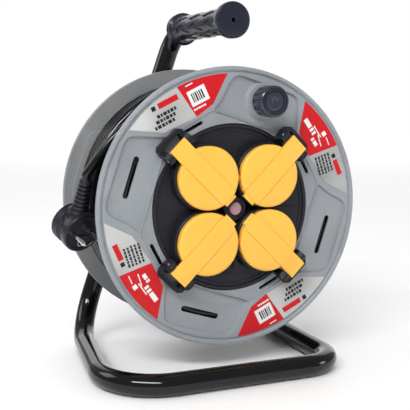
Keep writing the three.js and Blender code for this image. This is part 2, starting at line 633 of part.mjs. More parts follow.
const cableNames = ['cable_winding', 'cable_lead', 'plug_body', 'plug_pin_left', 'plug_pin_right',
  'plug_earth_socket', 'strain_relief'];
add(reel, 'cable_winding', winding(), MATERIALS.cable);
add(reel, 'cable_lead', cableLead(), MATERIALS.cable);
for (const [name, geometry] of Object.entries(plugPieces())) {
  add(reel, name, geometry, /pin|earth/.test(name) ? MATERIALS.steel : MATERIALS.black);
}

// The origin lies under the middle of the reel, at the floor, the cable and its plug not counted.
reel.updateMatrixWorld(true);
const extent = new THREE.Box3();
reel.traverse((piece) => {
  if (piece.isMesh && !cableNames.includes(piece.name)) extent.expandByObject(piece, true);
});
const centre = extent.getCenter(new THREE.Vector3());
reel.position.set(-centre.x, -centre.y, -extent.min.z);

export default reel;
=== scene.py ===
"""Extension cord reel: the looks of the drum, its cable, the covered sockets and the tube frame.

Sizes are millimetres in the drum's own frame, whose axis is Y, with the front rim at y = 0 and the
sockets facing -Y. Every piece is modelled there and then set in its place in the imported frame.
"""

import logging
import math
from dataclasses import dataclass
from enum import Enum
from typing import Callable, Sequence

import bpy
from mathutils import Matrix, Vector


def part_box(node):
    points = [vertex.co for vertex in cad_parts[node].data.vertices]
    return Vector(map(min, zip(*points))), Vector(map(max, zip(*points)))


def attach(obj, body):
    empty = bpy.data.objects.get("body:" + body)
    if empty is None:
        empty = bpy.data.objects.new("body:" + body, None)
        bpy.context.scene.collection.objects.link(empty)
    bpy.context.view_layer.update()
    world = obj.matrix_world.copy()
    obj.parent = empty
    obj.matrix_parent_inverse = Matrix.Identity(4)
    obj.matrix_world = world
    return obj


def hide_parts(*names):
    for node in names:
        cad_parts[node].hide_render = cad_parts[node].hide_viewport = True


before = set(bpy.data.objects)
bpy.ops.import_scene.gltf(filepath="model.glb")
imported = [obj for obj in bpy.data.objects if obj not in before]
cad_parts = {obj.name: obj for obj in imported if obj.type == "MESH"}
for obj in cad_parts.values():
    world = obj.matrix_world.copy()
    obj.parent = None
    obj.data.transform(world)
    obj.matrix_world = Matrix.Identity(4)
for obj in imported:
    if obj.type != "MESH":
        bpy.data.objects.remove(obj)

logging.basicConfig(level=logging.INFO, format="%(message)s")
log = logging.getLogger("reel")

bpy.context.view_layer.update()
MM = 0.001
QUARTER = math.pi / 2
HIDDEN_JOIN = 1e-6
SMOOTH_BELOW = 32  # degrees between faces that are shaded as one surface

Outline = Sequence[tuple[float, float]]
Colour = tuple[float, float, float]


def drum_origin() -> Vector:
    """Returns: the drum axis at the front rim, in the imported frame."""
    low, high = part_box("front_flange")
    return Vector(((low.x + high.x) / 2, low.y, (low.z + high.z) / 2))


DRUM = Matrix.Translation(drum_origin())


def srgb(red: int, green: int, blue: int) -> Colour:
    """Turns a display colour into the linear one that shaders use.

    Args:
        red, green, blue: display values from 0 to 255.

    Returns:
        The linear colour.
    """
    def linear(value: int) -> float:
        """Returns: one channel's linear value."""
        return value / 255 / 12.92 if value < 11 else ((value / 255 + 0.055) / 1.055) ** 2.4

    return linear(red), linear(green), linear(blue)


def polar(radius: float, degrees: float) -> tuple[float, float]:
    """Returns: the x and z of a point at a radius and a polar angle round the drum axis."""
    angle = math.radians(degrees)
    return radius * math.cos(angle), radius * math.sin(angle)


def about_axis(degrees: float) -> Matrix:
    """Returns: the turn about the drum axis that takes +X to the given polar angle."""
    return Matrix.Rotation(-math.radians(degrees), 4, "Y")


# ---- Finishes --------------------------------------------------------------------------------


class Graph:
    """A material's node tree, built a node at a time."""

    def __init__(self, name: str) -> None:
        """Starts a material with a Principled shader and a Mapping on Object coordinates."""
        self.material = bpy.data.materials.new(name)
        self.material.use_nodes = True
        self.tree = self.material.node_tree
        self.shader = self.tree.nodes["Principled BSDF"]
        self.where = self.tree.nodes.new("ShaderNodeTexCoord").outputs["Object"]

    def node(self, kind: str, **inputs: object) -> bpy.types.Node:
        """Adds a node.

        Args:
            kind: the node's type, without its ShaderNode prefix.
            inputs: socket values or sockets to link, by name with underscores for spaces.

        Returns:
            The node.
        """
        made = self.tree.nodes.new(f"ShaderNode{kind}")
        for name, value in inputs.items():
            self.feed(made.inputs[name.replace("_", " ")], value)
        return made

    def feed(self, socket: bpy.types.NodeSocket, value: object) -> None:
        """Links a socket, or sets its value."""
        if isinstance(value, bpy.types.NodeSocket):
            self.tree.links.new(value, socket)
        else:
            socket.default_value = value

    def stretched(self, scale: tuple[float, float, float]) -> bpy.types.NodeSocket:
        """Returns: the Object coordinates, scaled along each axis."""
        return self.node("Mapping", Vector=self.where, Scale=scale).outputs["Vector"]

    def noise(self, scale: float, detail: float = 2,
              where: bpy.types.NodeSocket | None = None) -> bpy.types.NodeSocket:
        """Returns: a noise value, with its scale in features to the metre."""
        return self.node("TexNoise", Vector=where or self.where, Scale=scale, Detail=detail).outputs["Fac"]

    def span(self, value: bpy.types.NodeSocket, low: float, high: float) -> bpy.types.NodeSocket:
        """Returns: a value from 0.3 to 0.7, spread from low to high."""
        made = self.node("MapRange", Value=value, From_Min=0.3, From_Max=0.7, To_Min=low, To_Max=high)
        return made.outputs["Result"]

    def blend(self, share: bpy.types.NodeSocket, first: Colour, second: Colour) -> bpy.types.NodeSocket:
        """Returns: a colour that runs from the first to the second."""
        mix = self.tree.nodes.new("ShaderNodeMix")
        mix.data_type = "RGBA"
        self.feed(mix.inputs["Factor"], share)
        mix.inputs[6].default_value = (*first, 1)
        mix.inputs[7].default_value = (*second, 1)
        return mix.outputs[2]

    def bump(self, height: bpy.types.NodeSocket, depth: float,
             under: bpy.types.NodeSocket | None = None) -> bpy.types.NodeSocket:
        """Returns: a normal raised by a height value, depth in millimetres, over another normal."""
        made = self.node("Bump", Height=height, Strength=1.0, Distance=depth * MM)
        if under is not None:
            self.feed(made.inputs["Normal"], under)
        return made.outputs["Normal"]

    def finish(self, **inputs: object) -> bpy.types.Material:
        """Sets the shader's sockets, by name with underscores for spaces, and returns the material."""
        for name, value in inputs.items():
            self.feed(self.shader.inputs[name.replace("_", " ")], value)
        return self.material


def shade(colour: Colour, factor: float) -> Colour:
    """Returns: the colour, lighter or darker by a factor."""
    return tuple(min(1.0, c * factor) for c in colour)


@dataclass(frozen=True)
class Moulding:
    """A moulded plastic or rubber, with a fine grain from its mould and slow flow marks.

    Attributes:
        name: the material's name.
        colour: its linear colour.
        roughness: its mean roughness.
        grain: the depth of the mould's grain in millimetres.
        pitch: grains to the metre.
        mottle: the share by which the colour drifts.
        glow: subsurface weight, for a plastic that lets some light in.
        shine: the specular level.
    """

    name: str
    colour: Colour
    roughness: float
    grain: float = 0.03
    pitch: float = 1500
    mottle: float = 0.06
    glow: float = 0.0
    shine: float = 0.3

    def material(self) -> bpy.types.Material:
        """Returns: the finished material."""
        graph = Graph(self.name)
        flow = graph.noise(22, 3)
        fine = graph.noise(self.pitch, 2)
        tone = graph.blend(graph.span(flow, 0, 1), shade(self.colour, 1 - self.mottle),
                           shade(self.colour, 1 + self.mottle))
        rough = graph.span(graph.noise(90, 3), self.roughness - 0.05, self.roughness + 0.05)
        relief = graph.bump(fine, self.grain, graph.bump(flow, self.grain * 4))
        return graph.finish(Base_Color=tone, Roughness=rough, Normal=relief, Specular_IOR_Level=self.shine,
                            Subsurface_Weight=self.glow, Subsurface_Scale=0.002)


@dataclass(frozen=True)
class Lacquer:
    """A glossy stoving enamel on tube, with orange peel and faint dust.

    Attributes:
        name: the material's name.
        colour: its linear colour.
    """

    name: str
    colour: Colour

    def material(self) -> bpy.types.Material:
        """Returns: the finished material."""
        graph = Graph(self.name)
        dust = graph.span(graph.noise(700, 4), 0.07, 0.16)
        tone = graph.blend(graph.span(graph.noise(30, 2), 0, 1), self.colour, shade(self.colour, 1.5))
        peel = graph.bump(graph.noise(260, 1), 0.015)
        return graph.finish(Base_Color=tone, Roughness=dust, Normal=peel, Specular_IOR_Level=0.35,
                            Coat_Weight=0.2, Coat_Roughness=0.04)


@dataclass(frozen=True)
class Metal:
    """A bare or plated metal, with fine draw marks along one axis.

    Attributes:
        name: the material's name.
        colour: its linear colour.
        roughness: its mean roughness.
        grain: how far the marks are drawn out along x, y and z.
    """

    name: str
    colour: Colour
    roughness: float
    grain: tuple[float, float, float] = (1, 0.1, 1)

    def material(self) -> bpy.types.Material:
        """Returns: the finished material."""
        graph = Graph(self.name)
        marks = graph.noise(1600, 3, graph.stretched(self.grain))
        tone = graph.blend(graph.span(graph.noise(140, 3), 0, 1), shade(self.colour, 0.86), self.colour)
        rough = graph.span(marks, self.roughness - 0.07, self.roughness + 0.1)
        return graph.finish(Base_Color=tone, Metallic=1.0, Roughness=rough, Normal=graph.bump(marks, 0.01))


@dataclass(frozen=True)
class Foil:
    """A metallised label film, its silver painted from light to dark in broad soft bands as a painted
    reflection.

    Attributes:
        name: the material's name.
        light: the lightest silver of the painted reflection.
        dark: the darkest silver of the painted reflection.
    """

    name: str
    light: Colour
    dark: Colour

    def material(self) -> bpy.types.Material:
        """Returns: the finished material."""
        graph = Graph(self.name)
        bands = graph.noise(16, 1, graph.stretched((1.0, 1.0, 1.0)))
        brushed = graph.noise(900, 2, graph.stretched((0.05, 1, 1)))
        # Painted reflection: broad noise bands run the silver's colour from dark to light.
        tone = graph.blend(graph.span(bands, 0, 1), self.dark, self.light)
        rough = graph.span(brushed, 0.32, 0.44)
        return graph.finish(Base_Color=tone, Metallic=0.2, Roughness=rough, Normal=graph.bump(brushed, 0.006))


@dataclass(frozen=True)
class Print:
    """A flat printed ink, with the slight unevenness of its screen.

    Attributes:
        name: the material's name.
        colour: its linear colour.
    """

    name: str
    colour: Colour

    def material(self) -> bpy.types.Material:
        """Returns: the finished material."""
        graph = Graph(self.name)
        screen = graph.noise(1200, 2)
        tone = graph.blend(graph.span(graph.noise(60, 2), 0, 1), shade(self.colour, 0.93), self.colour)
        return graph.finish(Base_Color=tone, Roughness=graph.span(screen, 0.34, 0.46), Specular_IOR_Level=0.3,
                            Normal=graph.bump(screen, 0.008))


class Finish(Enum):
    """Every finish on the reel."""

    DRUM = Moulding("drum_plastic", srgb(143, 148, 153), 0.4, 0.035, shine=0.4)
    # The rear flange is the drum grey painted darker: painted shade for the shadow that it stands in.
    DRUM_REAR = Moulding("drum_plastic_rear_painted_shade", srgb(134, 136, 138), 0.45, 0.035)
    PANEL = Moulding("panel_plastic", srgb(29, 29, 37), 0.42, 0.04)
    LID = Moulding("lid_plastic", srgb(244, 186, 72), 0.4, 0.03, 1400, 0.03, 0.03, 0.45)
    SEAL = Moulding("seal_rubber_ring", srgb(24, 24, 27), 0.72)
    RESET = Moulding("reset_plastic", srgb(178, 142, 152), 0.3, 0.01, 1200, 0.04, 0.05)
    KNOB = Moulding("knob_plastic", srgb(43, 46, 59), 0.2, 0.004, 900, shine=0.6)
    GRIP = Moulding("grip_soft_rubber", srgb(37, 39, 51), 0.22, 0.01, 1100, shine=0.25)
    CABLE = Moulding("cable_sheath", srgb(15, 15, 17), 0.14, 0.006, 700, 0.15, shine=0.45)
    PLUG = Moulding("plug_rubber", srgb(24, 22, 33), 0.34, 0.03, shine=0.45)
    ENAMEL = Lacquer("tube_lacquer", srgb(7, 7, 10))
    ZINC = Metal("zinc_plate", srgb(198, 199, 202), 0.26)
    NICKEL = Metal("nickel_plate", srgb(216, 216, 214), 0.16, (0.2, 1, 1))
    BRASS = Metal("brass_strip", srgb(205, 168, 92), 0.3)
    FOIL = Foil("label_silver_painted_reflection", srgb(206, 206, 205), srgb(146, 147, 147))
    RED = Print("label_red", srgb(200, 16, 26))
    WHITE = Print("label_white", srgb(232, 232, 230))
    BLACK = Print("label_black", srgb(24, 24, 26))
    FLOOR = Moulding("studio_floor", srgb(250, 250, 251), 0.7, 0.02, 300, 0.002)

    def material(self) -> bpy.types.Material:
        """Returns: the finish's material, made the first time that it is asked for."""
        return bpy.data.materials.get(self.value.name) or self.value.material()


# ---- Modelling -------------------------------------------------------------------------------


class Bench:
    """The modelling operators. Each call leaves only its own piece selected, in object mode."""

    @staticmethod
    def clear() -> None:
        """Deselects everything."""
        if bpy.context.object and bpy.context.object.mode != "OBJECT":
            bpy.ops.object.mode_set(mode="OBJECT")
        bpy.ops.object.select_all(action="DESELECT")

    @staticmethod
    def pick(*pieces: bpy.types.Object) -> None:
        """Selects only these pieces and makes the first active."""
        Bench.clear()
        for piece in pieces:
            piece.select_set(True)
        bpy.context.view_layer.objects.active = pieces[0]

    @staticmethod
    def place(piece: bpy.types.Object, *turns: Matrix) -> bpy.types.Object:
        """Moves a piece by the matrices, the last one first, and applies its place to its mesh.

        Args:
            piece: the piece.
            turns: matrices in metres.

        Returns:
            The piece.
        """
        Bench.pick(piece)
        for turn in reversed(turns):
            piece.matrix_world = turn @ piece.matrix_world
            bpy.ops.object.transform_apply(location=True, rotation=True, scale=True)
        return piece

    @staticmethod
    def shape(piece: bpy.types.Object, *steps: Callable[[], object]) -> bpy.types.Object:
        """Runs edit-mode steps with everything selected at the start.

        Args:
            piece: the piece.
            steps: operator calls.

        Returns:
            The piece.
        """
        Bench.pick(piece)
        bpy.ops.object.mode_set(mode="EDIT")
        bpy.ops.mesh.select_all(action="SELECT")
        for step in steps:
            step()
        bpy.ops.object.mode_set(mode="OBJECT")
        return piece

    @staticmethod
    def close() -> None:
        """In edit mode, merges doubles, caps open loops and turns every face outwards."""
        bpy.ops.mesh.select_all(action="SELECT")
        bpy.ops.mesh.remove_doubles(threshold=HIDDEN_JOIN)
        bpy.ops.mesh.fill_holes(sides=0)
        bpy.ops.mesh.select_all(action="SELECT")
        bpy.ops.mesh.normals_make_consistent(inside=False)

    @staticmethod
    def turned(profile: Outline, sides: int = 96, closed: bool = False) -> bpy.types.Object:
        """Models a turned piece: a ring is extruded and resized along the axis.

        Args:
            profile: radius and y of each ring, in millimetres.
            sides: how many sides a ring has.
            closed: whether the last ring joins the first, as on a washer.

        Returns:
            The piece.
        """
        Bench.clear()
        radius, y = profile[0]
        bpy.ops.mesh.primitive_circle_add(vertices=sides, radius=radius * MM, location=(0, y * MM, 0),
                                          rotation=(QUARTER, 0, 0))
        piece = bpy.context.object
        Bench.place(piece, Matrix.Identity(4))
        rings = list(profile[1:]) + ([profile[0]] if closed else [])

        def build() -> None:
            """Draws the rings one after another."""
            was, at = radius, y
            for wide, along in rings:
                bpy.ops.mesh.extrude_region_move(TRANSFORM_OT_translate={"value": (0, (along - at) * MM, 0)})
                grow = wide / was
                bpy.ops.transform.resize(value=(grow, 1, grow), center_override=(0, along * MM, 0))
                was, at = wide, along

        return Bench.shape(piece, build, Bench.close)

    @staticmethod
    def drawn(points: Outline, y: float) -> bpy.types.Object:
        """Draws an outline in x and z, corner by corner, and fills it.

        Args:
            points: its corners in millimetres.
            y: where it lies along the axis.

        Returns:
            A flat face.
        """
        Bench.clear()
        bpy.ops.mesh.primitive_plane_add(size=MM, location=(0, 0, 0))
        piece = bpy.context.object
        corners = [Vector((x, y, z)) * MM for x, z in points]

        def build() -> None:
            """Shrinks the start to a point and draws from corner to corner."""
            bpy.ops.mesh.merge(type="CENTER")
            bpy.ops.transform.translate(value=corners[0])
            for before, after in zip(corners, corners[1:] + corners[:1]):
                bpy.ops.mesh.extrude_vertices_move(TRANSFORM_OT_translate={"value": after - before})
            bpy.ops.mesh.select_all(action="SELECT")
            bpy.ops.mesh.remove_doubles(threshold=HIDDEN_JOIN)
            bpy.ops.mesh.edge_face_add()

        return Bench.shape(piece, build)

    @staticmethod
    def prism(points: Outline, y0: float, y1: float, corner: float = 0, draft: float = 1) -> bpy.types.Object:
        """Models an outline given thickness.

        Args:
            points: its corners in x and z, in millimetres.
            y0: the y that it is drawn at.
            y1: the y that it is extruded to.
            corner: the radius of its rounded corners.
            draft: how much smaller its far side is, about its own middle.

        Returns:
            The piece.
        """
        piece = Bench.drawn(points, y0)
        middle = (sum(x for x, _ in points) / len(points) * MM, 0,
                  sum(z for _, z in points) / len(points) * MM)

        def build() -> None:
            """Rounds the corners and gives the outline its thickness."""
            if corner:
                bpy.ops.mesh.bevel(offset=corner * MM, segments=5, affect="VERTICES")
                bpy.ops.mesh.select_all(action="SELECT")
            bpy.ops.mesh.extrude_region_move(TRANSFORM_OT_translate={"value": (0, (y1 - y0) * MM, 0)})
            if draft != 1:
                bpy.ops.transform.resize(value=(draft, 1, draft), center_override=middle)

        return Bench.shape(piece, build, Bench.close)

    @staticmethod
    def block(size: tuple[float, float, float], centre: tuple[float, float, float],
              soft: float = 0) -> bpy.types.Object:
        """Models a block with bevelled edges.

        Args:
            size: its x, y and z in millimetres.
            centre: its middle.
            soft: the width of its bevels.

        Returns:
            The piece.
        """
        Bench.clear()
        bpy.ops.mesh.primitive_cube_add(size=1, location=Vector(centre) * MM, scale=Vector(size) * MM)
        piece = Bench.place(bpy.context.object, Matrix.Identity(4))
        if soft:
            Bench.shape(piece, lambda: bpy.ops.mesh.bevel(offset=soft * MM, segments=3, affect="EDGES"))
        return piece

    @staticmethod
    def stadium(length: float, width: float, steps: int = 8) -> Outline:
        """Returns: a slot's outline with round ends, its length along z, about the origin."""
        half, radius = (length - width) / 2, width / 2
        ends = []
        for side, start in ((1, 0), (-1, 180)):
            for k in range(steps + 1):
                x, z = polar(radius, start + 180 * k / steps)
                ends.append((x, z + side * half))
        return ends

    @staticmethod
    def copied(piece: bpy.types.Object, *turns: Matrix) -> bpy.types.Object:
        """Returns: a copy with its own mesh, moved by the matrices."""
        Bench.pick(piece)
        bpy.ops.object.duplicate(linked=False)
        return Bench.place(bpy.context.object, *turns)

    @staticmethod
    def joined(pieces: Sequence[bpy.types.Object]) -> bpy.types.Object:
        """Returns: the pieces as one object, their meshes side by side."""
        if len(pieces) > 1:
            Bench.pick(*pieces)
            bpy.ops.object.join()
        return pieces[0]

    @staticmethod
    def boolean(piece: bpy.types.Object, tools: Sequence[bpy.types.Object],
                cutting: bool) -> bpy.types.Object:
        """Cuts the tools from a piece, or welds them to it, and removes them.

        Args:
            piece: the piece.
            tools: closed pieces.
            cutting: True to cut, False to weld.

        Returns:
            The piece.
        """
        for tool in tools:
            Bench.pick(piece)
            modifier = piece.modifiers.new("join", "BOOLEAN")
            modifier.operation = "DIFFERENCE" if cutting else "UNION"
            modifier.solver = "MANIFOLD"
            modifier.object = tool
            bpy.ops.object.modifier_apply(modifier=modifier.name)
            bpy.data.objects.remove(tool)
        return piece

    @staticmethod
    def softened(piece: bpy.types.Object, width: float = 0.4, segments: int = 2,
                 angle: float = 30) -> bpy.types.Object:
        """Rounds a piece's sharp edges and smooths the rest.

        Args:
            piece: the piece.
            width: the bevels' width in millimetres, or 0 for none.
            segments: the bevels' steps.
            angle: the sharpest edge in degrees that is left alone.

        Returns:
            The piece.
        """
        Bench.pick(piece)
        if width:
            modifier = piece.modifiers.new("soft edges", "BEVEL")
            modifier.width = width * MM
            modifier.segments = segments
            modifier.limit_method = "ANGLE"
            modifier.angle_limit = math.radians(angle)
            bpy.ops.object.modifier_apply(modifier=modifier.name)
        bpy.ops.object.shade_smooth_by_angle(angle=math.radians(SMOOTH_BELOW))
        return piece


def deliver(piece: bpy.types.Object, name: str, body: str, finish: Finish | None, slot: str,
            stands_for: Sequence[str] = ()) -> bpy.types.Object:
    """Names a finished piece, dresses it and hangs it on its body.

    Args:
        piece: the piece, in its place.
        name: its name.
        body: the body that it rides on.
        finish: its finish, or None where its parts already have theirs.
        slot: the record's material slot; not used.
        stands_for: the CAD nodes that it replaces.

    Returns:
        The piece.
    """
    piece.name = piece.data.name = name
    if finish:
        piece.data.materials.clear()
        piece.data.materials.append(finish.material())
    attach(piece, body)
    if stands_for:
        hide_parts(*stands_for)
    log.info("%s: %s faces on %s", name, len(piece.data.polygons) if piece.type == "MESH" else "curve", body)
    return piece


# ---- Cable and plug --------------------------------------------------------------------------


@dataclass(frozen=True)
class Plug:
    """The angled mains plug at the cable's free end, with its ribbed strain relief.

    Attributes:
        face: the middle of the pins' face.
        out: the way the pins point.
        lead: the way the cable leaves.
    """

    face: Vector = Vector((-129.2, 50, -23.5))
    out: Vector = Vector((0.313, -0.871, -0.38)).normalized()
    lead: Vector = Vector((0.129, -0.358, 0.925))
    radius: float = 19.5
    depth: float = 26
    pin_spacing: float = 19
    pin_length: float = 19
    relief_start: float = 20.3
    relief_length: float = 30
    ribs: int = 6
    earth_drop: float = 10.5

    def middle(self) -> Vector:
        """Returns: the middle of the plug's depth."""
        return self.face - self.out * (self.depth / 2)

    def relief_top(self) -> Vector:
        """Returns: where the cable enters the strain relief."""
        return self.middle() + self.lead * (self.relief_start + self.relief_length + 0.3)

    def aligned(self, along: Vector, at: Vector) -> Matrix:
        """Returns: the matrix that takes +Y to a direction and the origin to a point."""
        turn = Vector((0, 1, 0)).rotation_difference(along).to_matrix().to_4x4()
        return DRUM @ Matrix.Translation(at * MM) @ turn

    def on_face(self, across: float, up: float) -> Vector:
        """Returns: a point on the pins' face."""
        sideways = self.out.cross(self.lead).normalized()
        return self.face + sideways * across + self.lead * up

    def body(self) -> bpy.types.Object:
        """Returns: the plug's moulding, with its stepped back, pin pockets and earth hole."""
        back = -self.depth
        ridges = []
        for k in range(3):
            y = back + 1 + k * 3.2
            ridges += [(19.2, y), (19.2, y + 1.7), (18.4, y + 2.1), (18.4, y + 2.8)]
        piece = Bench.turned([(16.8, back), *ridges, (17.2, -15), (16.4, -13.8), (16.4, -10.4), (17.4, -9.2),
                              (self.radius, -8.4), (self.radius, -1.2), (18.8, -0.2), (17.8, 0), (17, 0.0),
                              (16.7, -0.9), (12, -0.9)], 72)
        Bench.place(piece, self.aligned(self.out, self.face))
        neck = Bench.turned([(12.4, 4), (12, 14), (10.6, 18), (8.2, self.relief_start - 0.3)], 48)
        Bench.place(neck, self.aligned(self.lead, self.middle()))
        Bench.boolean(piece, [neck], cutting=False)
        tools = []
        for side in (-1, 1):
            pocket = Bench.turned([(2.7, -6), (2.7, 2)], 24)
            where = self.on_face(side * self.pin_spacing / 2, 0)
            tools.append(Bench.place(pocket, self.aligned(self.out, where)))
        earth = Bench.turned([(3.9, -16), (3.9, 2)], 28)
        tools.append(Bench.place(earth, self.aligned(self.out, self.on_face(0, -self.earth_drop))))
        return Bench.softened(Bench.boolean(piece, tools, cutting=True), 0.5)

    def relief(self) -> bpy.types.Object:
        """Returns: the tapered strain relief, with a deep groove above each rib."""
        profile = [(7.9, 0), (7.7, 3)]
        pitch = (self.relief_length - 6) / self.ribs
        for k in range(self.ribs):
            y, radius = 3.4 + k * pitch, 7.6 - k * 1.6 / self.ribs
            profile += [(radius - 1.5, y), (radius - 1.5, y + 0.4 * pitch), (radius, y + 0.48 * pitch),
                        (radius - 0.1, y + 0.95 * pitch)]
        profile += [(5.6, self.relief_length - 1), (5.1, self.relief_length)]
        piece = Bench.turned(profile, 40)
        return Bench.softened(Bench.place(piece, self.aligned(self.lead,
                              self.middle() + self.lead * self.relief_start)), 0.25)

    def pin(self, side: int) -> bpy.types.Object:
        """Returns: one round pin with a domed tip."""
        tip = self.pin_length
        piece = Bench.turned([(2.4, -5), (2.4, tip - 2), (2.1, tip - 0.9), (1.3, tip - 0.2), (0.6, tip)], 32)
        place = self.aligned(self.out, self.on_face(side * self.pin_spacing / 2, 0))
        return Bench.softened(Bench.place(piece, place), 0)

    def build(self) -> list[bpy.types.Object]:
        """Returns: the plug's pieces, on the drum."""
        socket = Bench.turned([(2.7, -15), (3.6, -15), (3.6, -0.7), (2.7, -0.7)], 32, closed=True)
        Bench.place(socket, self.aligned(self.out, self.on_face(0, -self.earth_drop)))
        rubber, metal = (Finish.PLUG, "plug_black"), (Finish.NICKEL, "plug_nickel")
        pieces = (
            (self.body(), "plug_moulding", rubber, "plug_body"),
            (self.relief(), "strain_relief_ribbed", rubber, "strain_relief"),
            (self.pin(-1), "plug_pin_left_round", metal, "plug_pin_left"),
            (self.pin(1), "plug_pin_right_round", metal, "plug_pin_right"),
            (Bench.softened(socket, 0.1), "plug_earth_sleeve", metal, "plug_earth_socket"),
        )
        return [deliver(piece, name, "drum", *look, [node]) for piece, name, look, node in pieces]


@dataclass(frozen=True)
class CableRun:
    """The mains cable: three full layers on the hub, part of a fourth, and the lead to the plug.

    Attributes:
        diameter: the cable's diameter.
        length: its real length in metres.
        first_radius: the centreline's radius in the first layer.
        layer_rise: the step from one layer to the next, where turns nest in the grooves below.
        turns: full turns in each of the first layers.
        front, back: the y of the first and the last turn of a layer.
        last_turns: full turns in the last layer.
        last_pitch: the step between them along the axis.
        wander: how far they drift from an even winding.
        leave: how fast the last turn moves forward, to where the lead starts.
        start: the polar angle where every layer starts.
        lead_from: the polar angle where the lead starts.
        entry: the first points, out of the hub, each with its radius, polar angle and y.
        points_per_turn: how finely a turn is drawn.
    """

    diameter: float = 9
    length: float = 25
    first_radius: float = 86.6
    layer_rise: float = 8
    turns: int = 12
    front: float = 11.2
    back: float = 116.8
    last_turns: float = 4
    last_pitch: float = 10.4
    wander: float = 1.6
    leave: float = 44
    start: float = 110
    lead_from: float = 62
    entry: tuple[tuple[float, float, float], ...] = (
        (76, 70, 16), (78, 78, 16), (80.5, 86, 15.6), (83.5, 94, 14.6), (86, 102, 13))
    points_per_turn: int = 48

    def coil(self) -> list[Vector]:
        """Returns: the wound part, from the hub's entry hole to the start of the lead."""
        path = [Vector((*polar(radius, angle), y)) for radius, angle, y in self.entry]
        start = self.start
        for layer in range(3):
            radius = self.first_radius + layer * self.layer_rise
            y0, y1 = (self.front, self.back) if layer % 2 == 0 else (self.back, self.front)
            # One turn of the third layer rides up on the turn before it, against the front flange.
            ridden = layer == 2
            turns = self.turns + ridden
            for k in range(turns * self.points_per_turn):
                turn = k / self.points_per_turn
                share = self.eased(turn - 2) * (turn - 1) / self.turns if ridden else turn / turns
                up = self.eased(turn - turns + 0.25) + ridden * (self.eased(turn - 1) - self.eased(turn - 2))
                path.append(Vector((*polar(radius + self.layer_rise * up, start + turn * 360),
                                    y0 + (y1 - y0) * share)))
        return [Vector((p.x, p.z, p.y)) for p in path] + self.last_layer(start)

    @staticmethod
    def eased(turn: float) -> float:
        """Returns: how far a step up or down has gone, a part of a turn after its start."""
        share = min(1.0, max(0.0, turn * 4))
        return share * share * (3 - 2 * share)

    def last_layer(self, start: float) -> list[Vector]:
        """Works out the part-filled layer, whose turns drift apart towards the lead.

        Args:
            start: the polar angle at which it starts.

        Returns:
            Its points, up to the start of the lead.
        """
        radius = self.first_radius + 3 * self.layer_rise
        goal = self.last_turns * 360 + self.lead_from
        steps = round((goal - start) / 360 * self.points_per_turn)
        points = []
        for k in range(steps):
            share = k / steps
            turn = share * (goal - start) / 360
            drift = self.wander * math.sin(math.radians(start) + turn * 2 * math.pi)
            leaving = max(0.0, turn - self.last_turns + 1) ** 2 * self.leave
            y = self.back - turn * self.last_pitch - drift * share - leaving
            x, z = polar(radius + 2 * share, start + turn * 360)
            points.append(Vector((x, y, z)))
        return points

    def lead(self, plug: Plug) -> list[Vector]:
        """Returns: the free end's hand-laid route over the top and down the left side to the plug."""
        route = ((62, 112.6, 42), (72, 112.6, 41), (82, 112.6, 40), (92, 112.6, 39), (102, 112.6, 38),
                 (112, 112.7, 36.5), (122, 113.3, 35.5), (132, 115.2, 35), (142, 118.8, 35.3),
                 (151, 122.8, 37))
        corners = []
        for degrees, radius, y in route:
            x, z = polar(radius, degrees)
            corners.append(Vector((x, y, z)))
        top = plug.relief_top()
        return corners + [top + plug.lead * 7, top]

    @staticmethod
    def rounded(corners: Sequence[Vector], steps: int = 6) -> list[Vector]:
        """Returns: the corners joined by one smooth line, with steps points to each stretch."""
        points = []
        padded = [corners[0], *corners, corners[-1]]
        for a, b, c, d in zip(padded, padded[1:], padded[2:], padded[3:]):
            for k in range(steps):
                t = k / steps
                points.append(0.5 * (2 * b + (c - a) * t + (2 * a - 5 * b + 4 * c - d) * t * t
                                     + (3 * b - a - 3 * c + d) * t ** 3))
        return points + [corners[-1]]

    def build(self, plug: Plug) -> bpy.types.Object:
        """Args:
            plug: the plug that it leads to.

        Returns:
            The cable.
        """
        points = self.coil() + self.rounded(self.lead(plug))
        Bench.clear()
        curve = bpy.data.curves.new("mains_cable", "CURVE")
        curve.dimensions = "3D"
        spline = curve.splines.new("POLY")
        spline.points.add(len(points) - 1)
        for vertex, point in zip(spline.points, points):
            vertex.co = (*(DRUM @ (point * MM)), 1)
        spline.use_smooth = True
        curve.bevel_depth = self.diameter / 2 * MM
        curve.bevel_resolution = 4
        curve.use_fill_caps = True
        cable = bpy.data.objects.new("mains_cable", curve)
        bpy.context.scene.collection.objects.link(cable)
        deliver(cable, "mains_cable", "drum", Finish.CABLE, "cable_black", ["cable_winding", "cable_lead"])
        plug.build()
        return cable


# ---- Drum ------------------------------------------------------------------------------------


